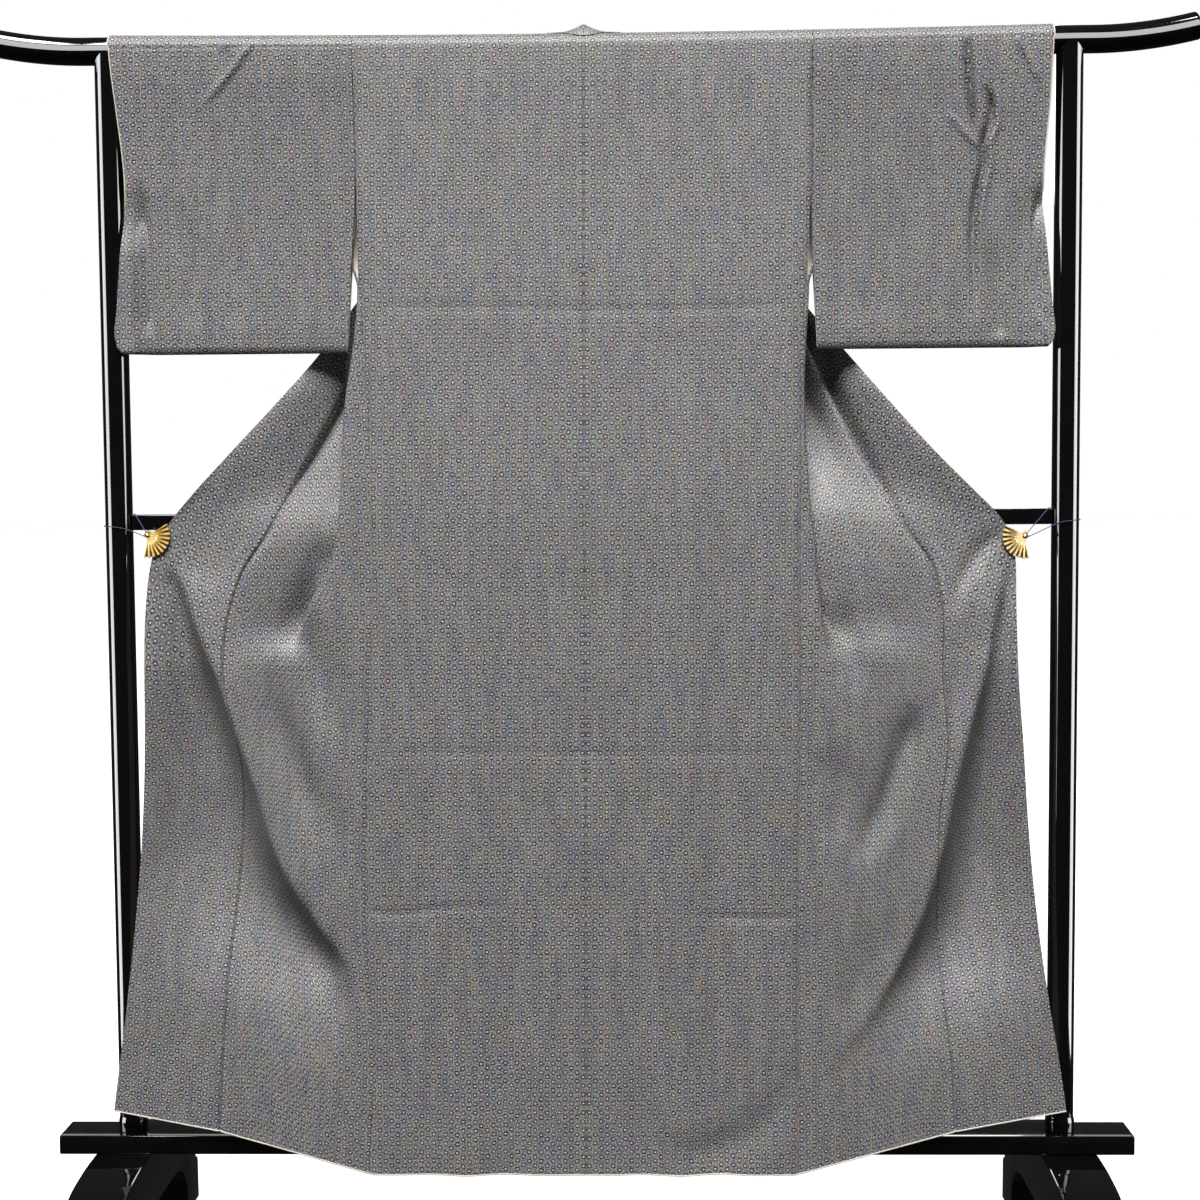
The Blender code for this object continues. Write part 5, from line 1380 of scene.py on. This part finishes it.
def studio():
    """A pale floor, a white surround, a high key light and pale cards for the gloss."""
    floor_mesh = bpy.data.meshes.new("studio_floor")
    reach = 60.0
    floor_mesh.from_pydata([(-reach, -reach, 0), (reach, -reach, 0), (reach, reach, 0),
                            (-reach, reach, 0)], [], [(0, 1, 2, 3)])
    pale = Finish("studio_pale", 0.7)
    pale.shader.inputs["Base Color"].default_value = (0.50, 0.50, 0.50, 1)
    pale.shader.inputs["Emission Color"].default_value = (1, 1, 1, 1)
    pale.shader.inputs["Emission Strength"].default_value = 0.96
    floor_mesh.materials.append(pale.material)
    ground = bpy.data.objects.new("studio_floor", floor_mesh)
    bpy.context.scene.collection.objects.link(ground)
    ground.visible_diffuse = False           # it looks white and throws no light up at the cloth
    ground.visible_glossy = False            # or into the lacquer

    world = bpy.data.worlds.new("studio")
    world.use_nodes = True
    tree = world.node_tree
    bright = tree.nodes["Background"]
    bright.inputs["Color"].default_value = (1, 1, 1, 1)
    height = tree.nodes.new("ShaderNodeSeparateXYZ")
    tree.links.new(tree.nodes.new("ShaderNodeTexCoord").outputs["Generated"], height.inputs[0])
    sky = tree.nodes.new("ShaderNodeMapRange")           # dimmer below than above
    for key, value in ((1, -0.6), (2, 0.9), (3, 0.02), (4, 0.06)):
        sky.inputs[key].default_value = value
    tree.links.new(height.outputs[2], sky.inputs[0])
    seen = tree.nodes.new("ShaderNodeLightPath")
    level = tree.nodes.new("ShaderNodeMix")
    level.inputs[3].default_value = 1.0
    tree.links.new(seen.outputs["Is Camera Ray"], level.inputs[0])
    tree.links.new(sky.outputs[0], level.inputs[2])
    tree.links.new(level.outputs[0], bright.inputs["Strength"])
    bpy.context.scene.world = world

    soft_light("key_light", (-0.9, -7.6, 13.6), (0, 0, 1.0), (7.5, 6.0), 4450)
    soft_light("front_light", (0, -4.5, 1.0), (0, 0, 0.9), (3.0, 2.0), 10)
    bpy.context.scene.objects["front_light"].visible_glossy = False
    soft_light("back_light", (0.3, 3.2, 2.8), (0, 0, 1.0), (2.2, 1.6), 55)
    # pale cards that show in the gloss of one part each
    card("rail_card", (0.0, -2.9, 2.7), (0, 0, 1.73), (4.8, 2.4), 8.0, "lacquer_rail")
    card("left_card", (-2.6, -0.82, 1.1), (0, -0.82, 1.1), (1.25, 2.8), 10.0, "lacquer")
    card("right_card", (2.6, -0.57, 1.1), (0, -0.57, 1.1), (1.2, 2.8), 10.0, "lacquer")
    card("beam_card", (0.0, 1.6, 1.9), (0, 0, 0.2), (4.0, 1.6), 1.1, "lacquer_b")
    card("gilt_card", (0.0, -2.9, 1.9), (0, 0, 1.05), (2.2, 2.2), 4.6, ("fan", "clip"))


def camera():
    """The camera, turned by its yaw, pitch and roll."""
    yaw, pitch, roll = (math.radians(a) for a in (CAMERA_YAW, CAMERA_PITCH, CAMERA_ROLL))
    ahead = Vector((-math.sin(yaw) * math.cos(pitch), math.cos(yaw) * math.cos(pitch),
                    -math.sin(pitch)))
    level = Vector((math.cos(yaw), math.sin(yaw), 0))
    above = level.cross(ahead)
    right = level * math.cos(roll) + above * math.sin(roll)
    up = above * math.cos(roll) - level * math.sin(roll)
    lens = bpy.data.cameras.new("camera")
    lens.lens = LENS
    lens.sensor_width = 36.0
    lens.clip_start = 0.05
    holder = bpy.data.objects.new("camera", lens)
    turn = Matrix((right, up, -ahead)).transposed().to_4x4()
    holder.matrix_world = Matrix.Translation(CAMERA) @ turn
    bpy.context.scene.collection.objects.link(holder)
    bpy.context.scene.camera = holder


studio()
camera()
bpy.context.scene.view_settings.view_transform = "Standard"
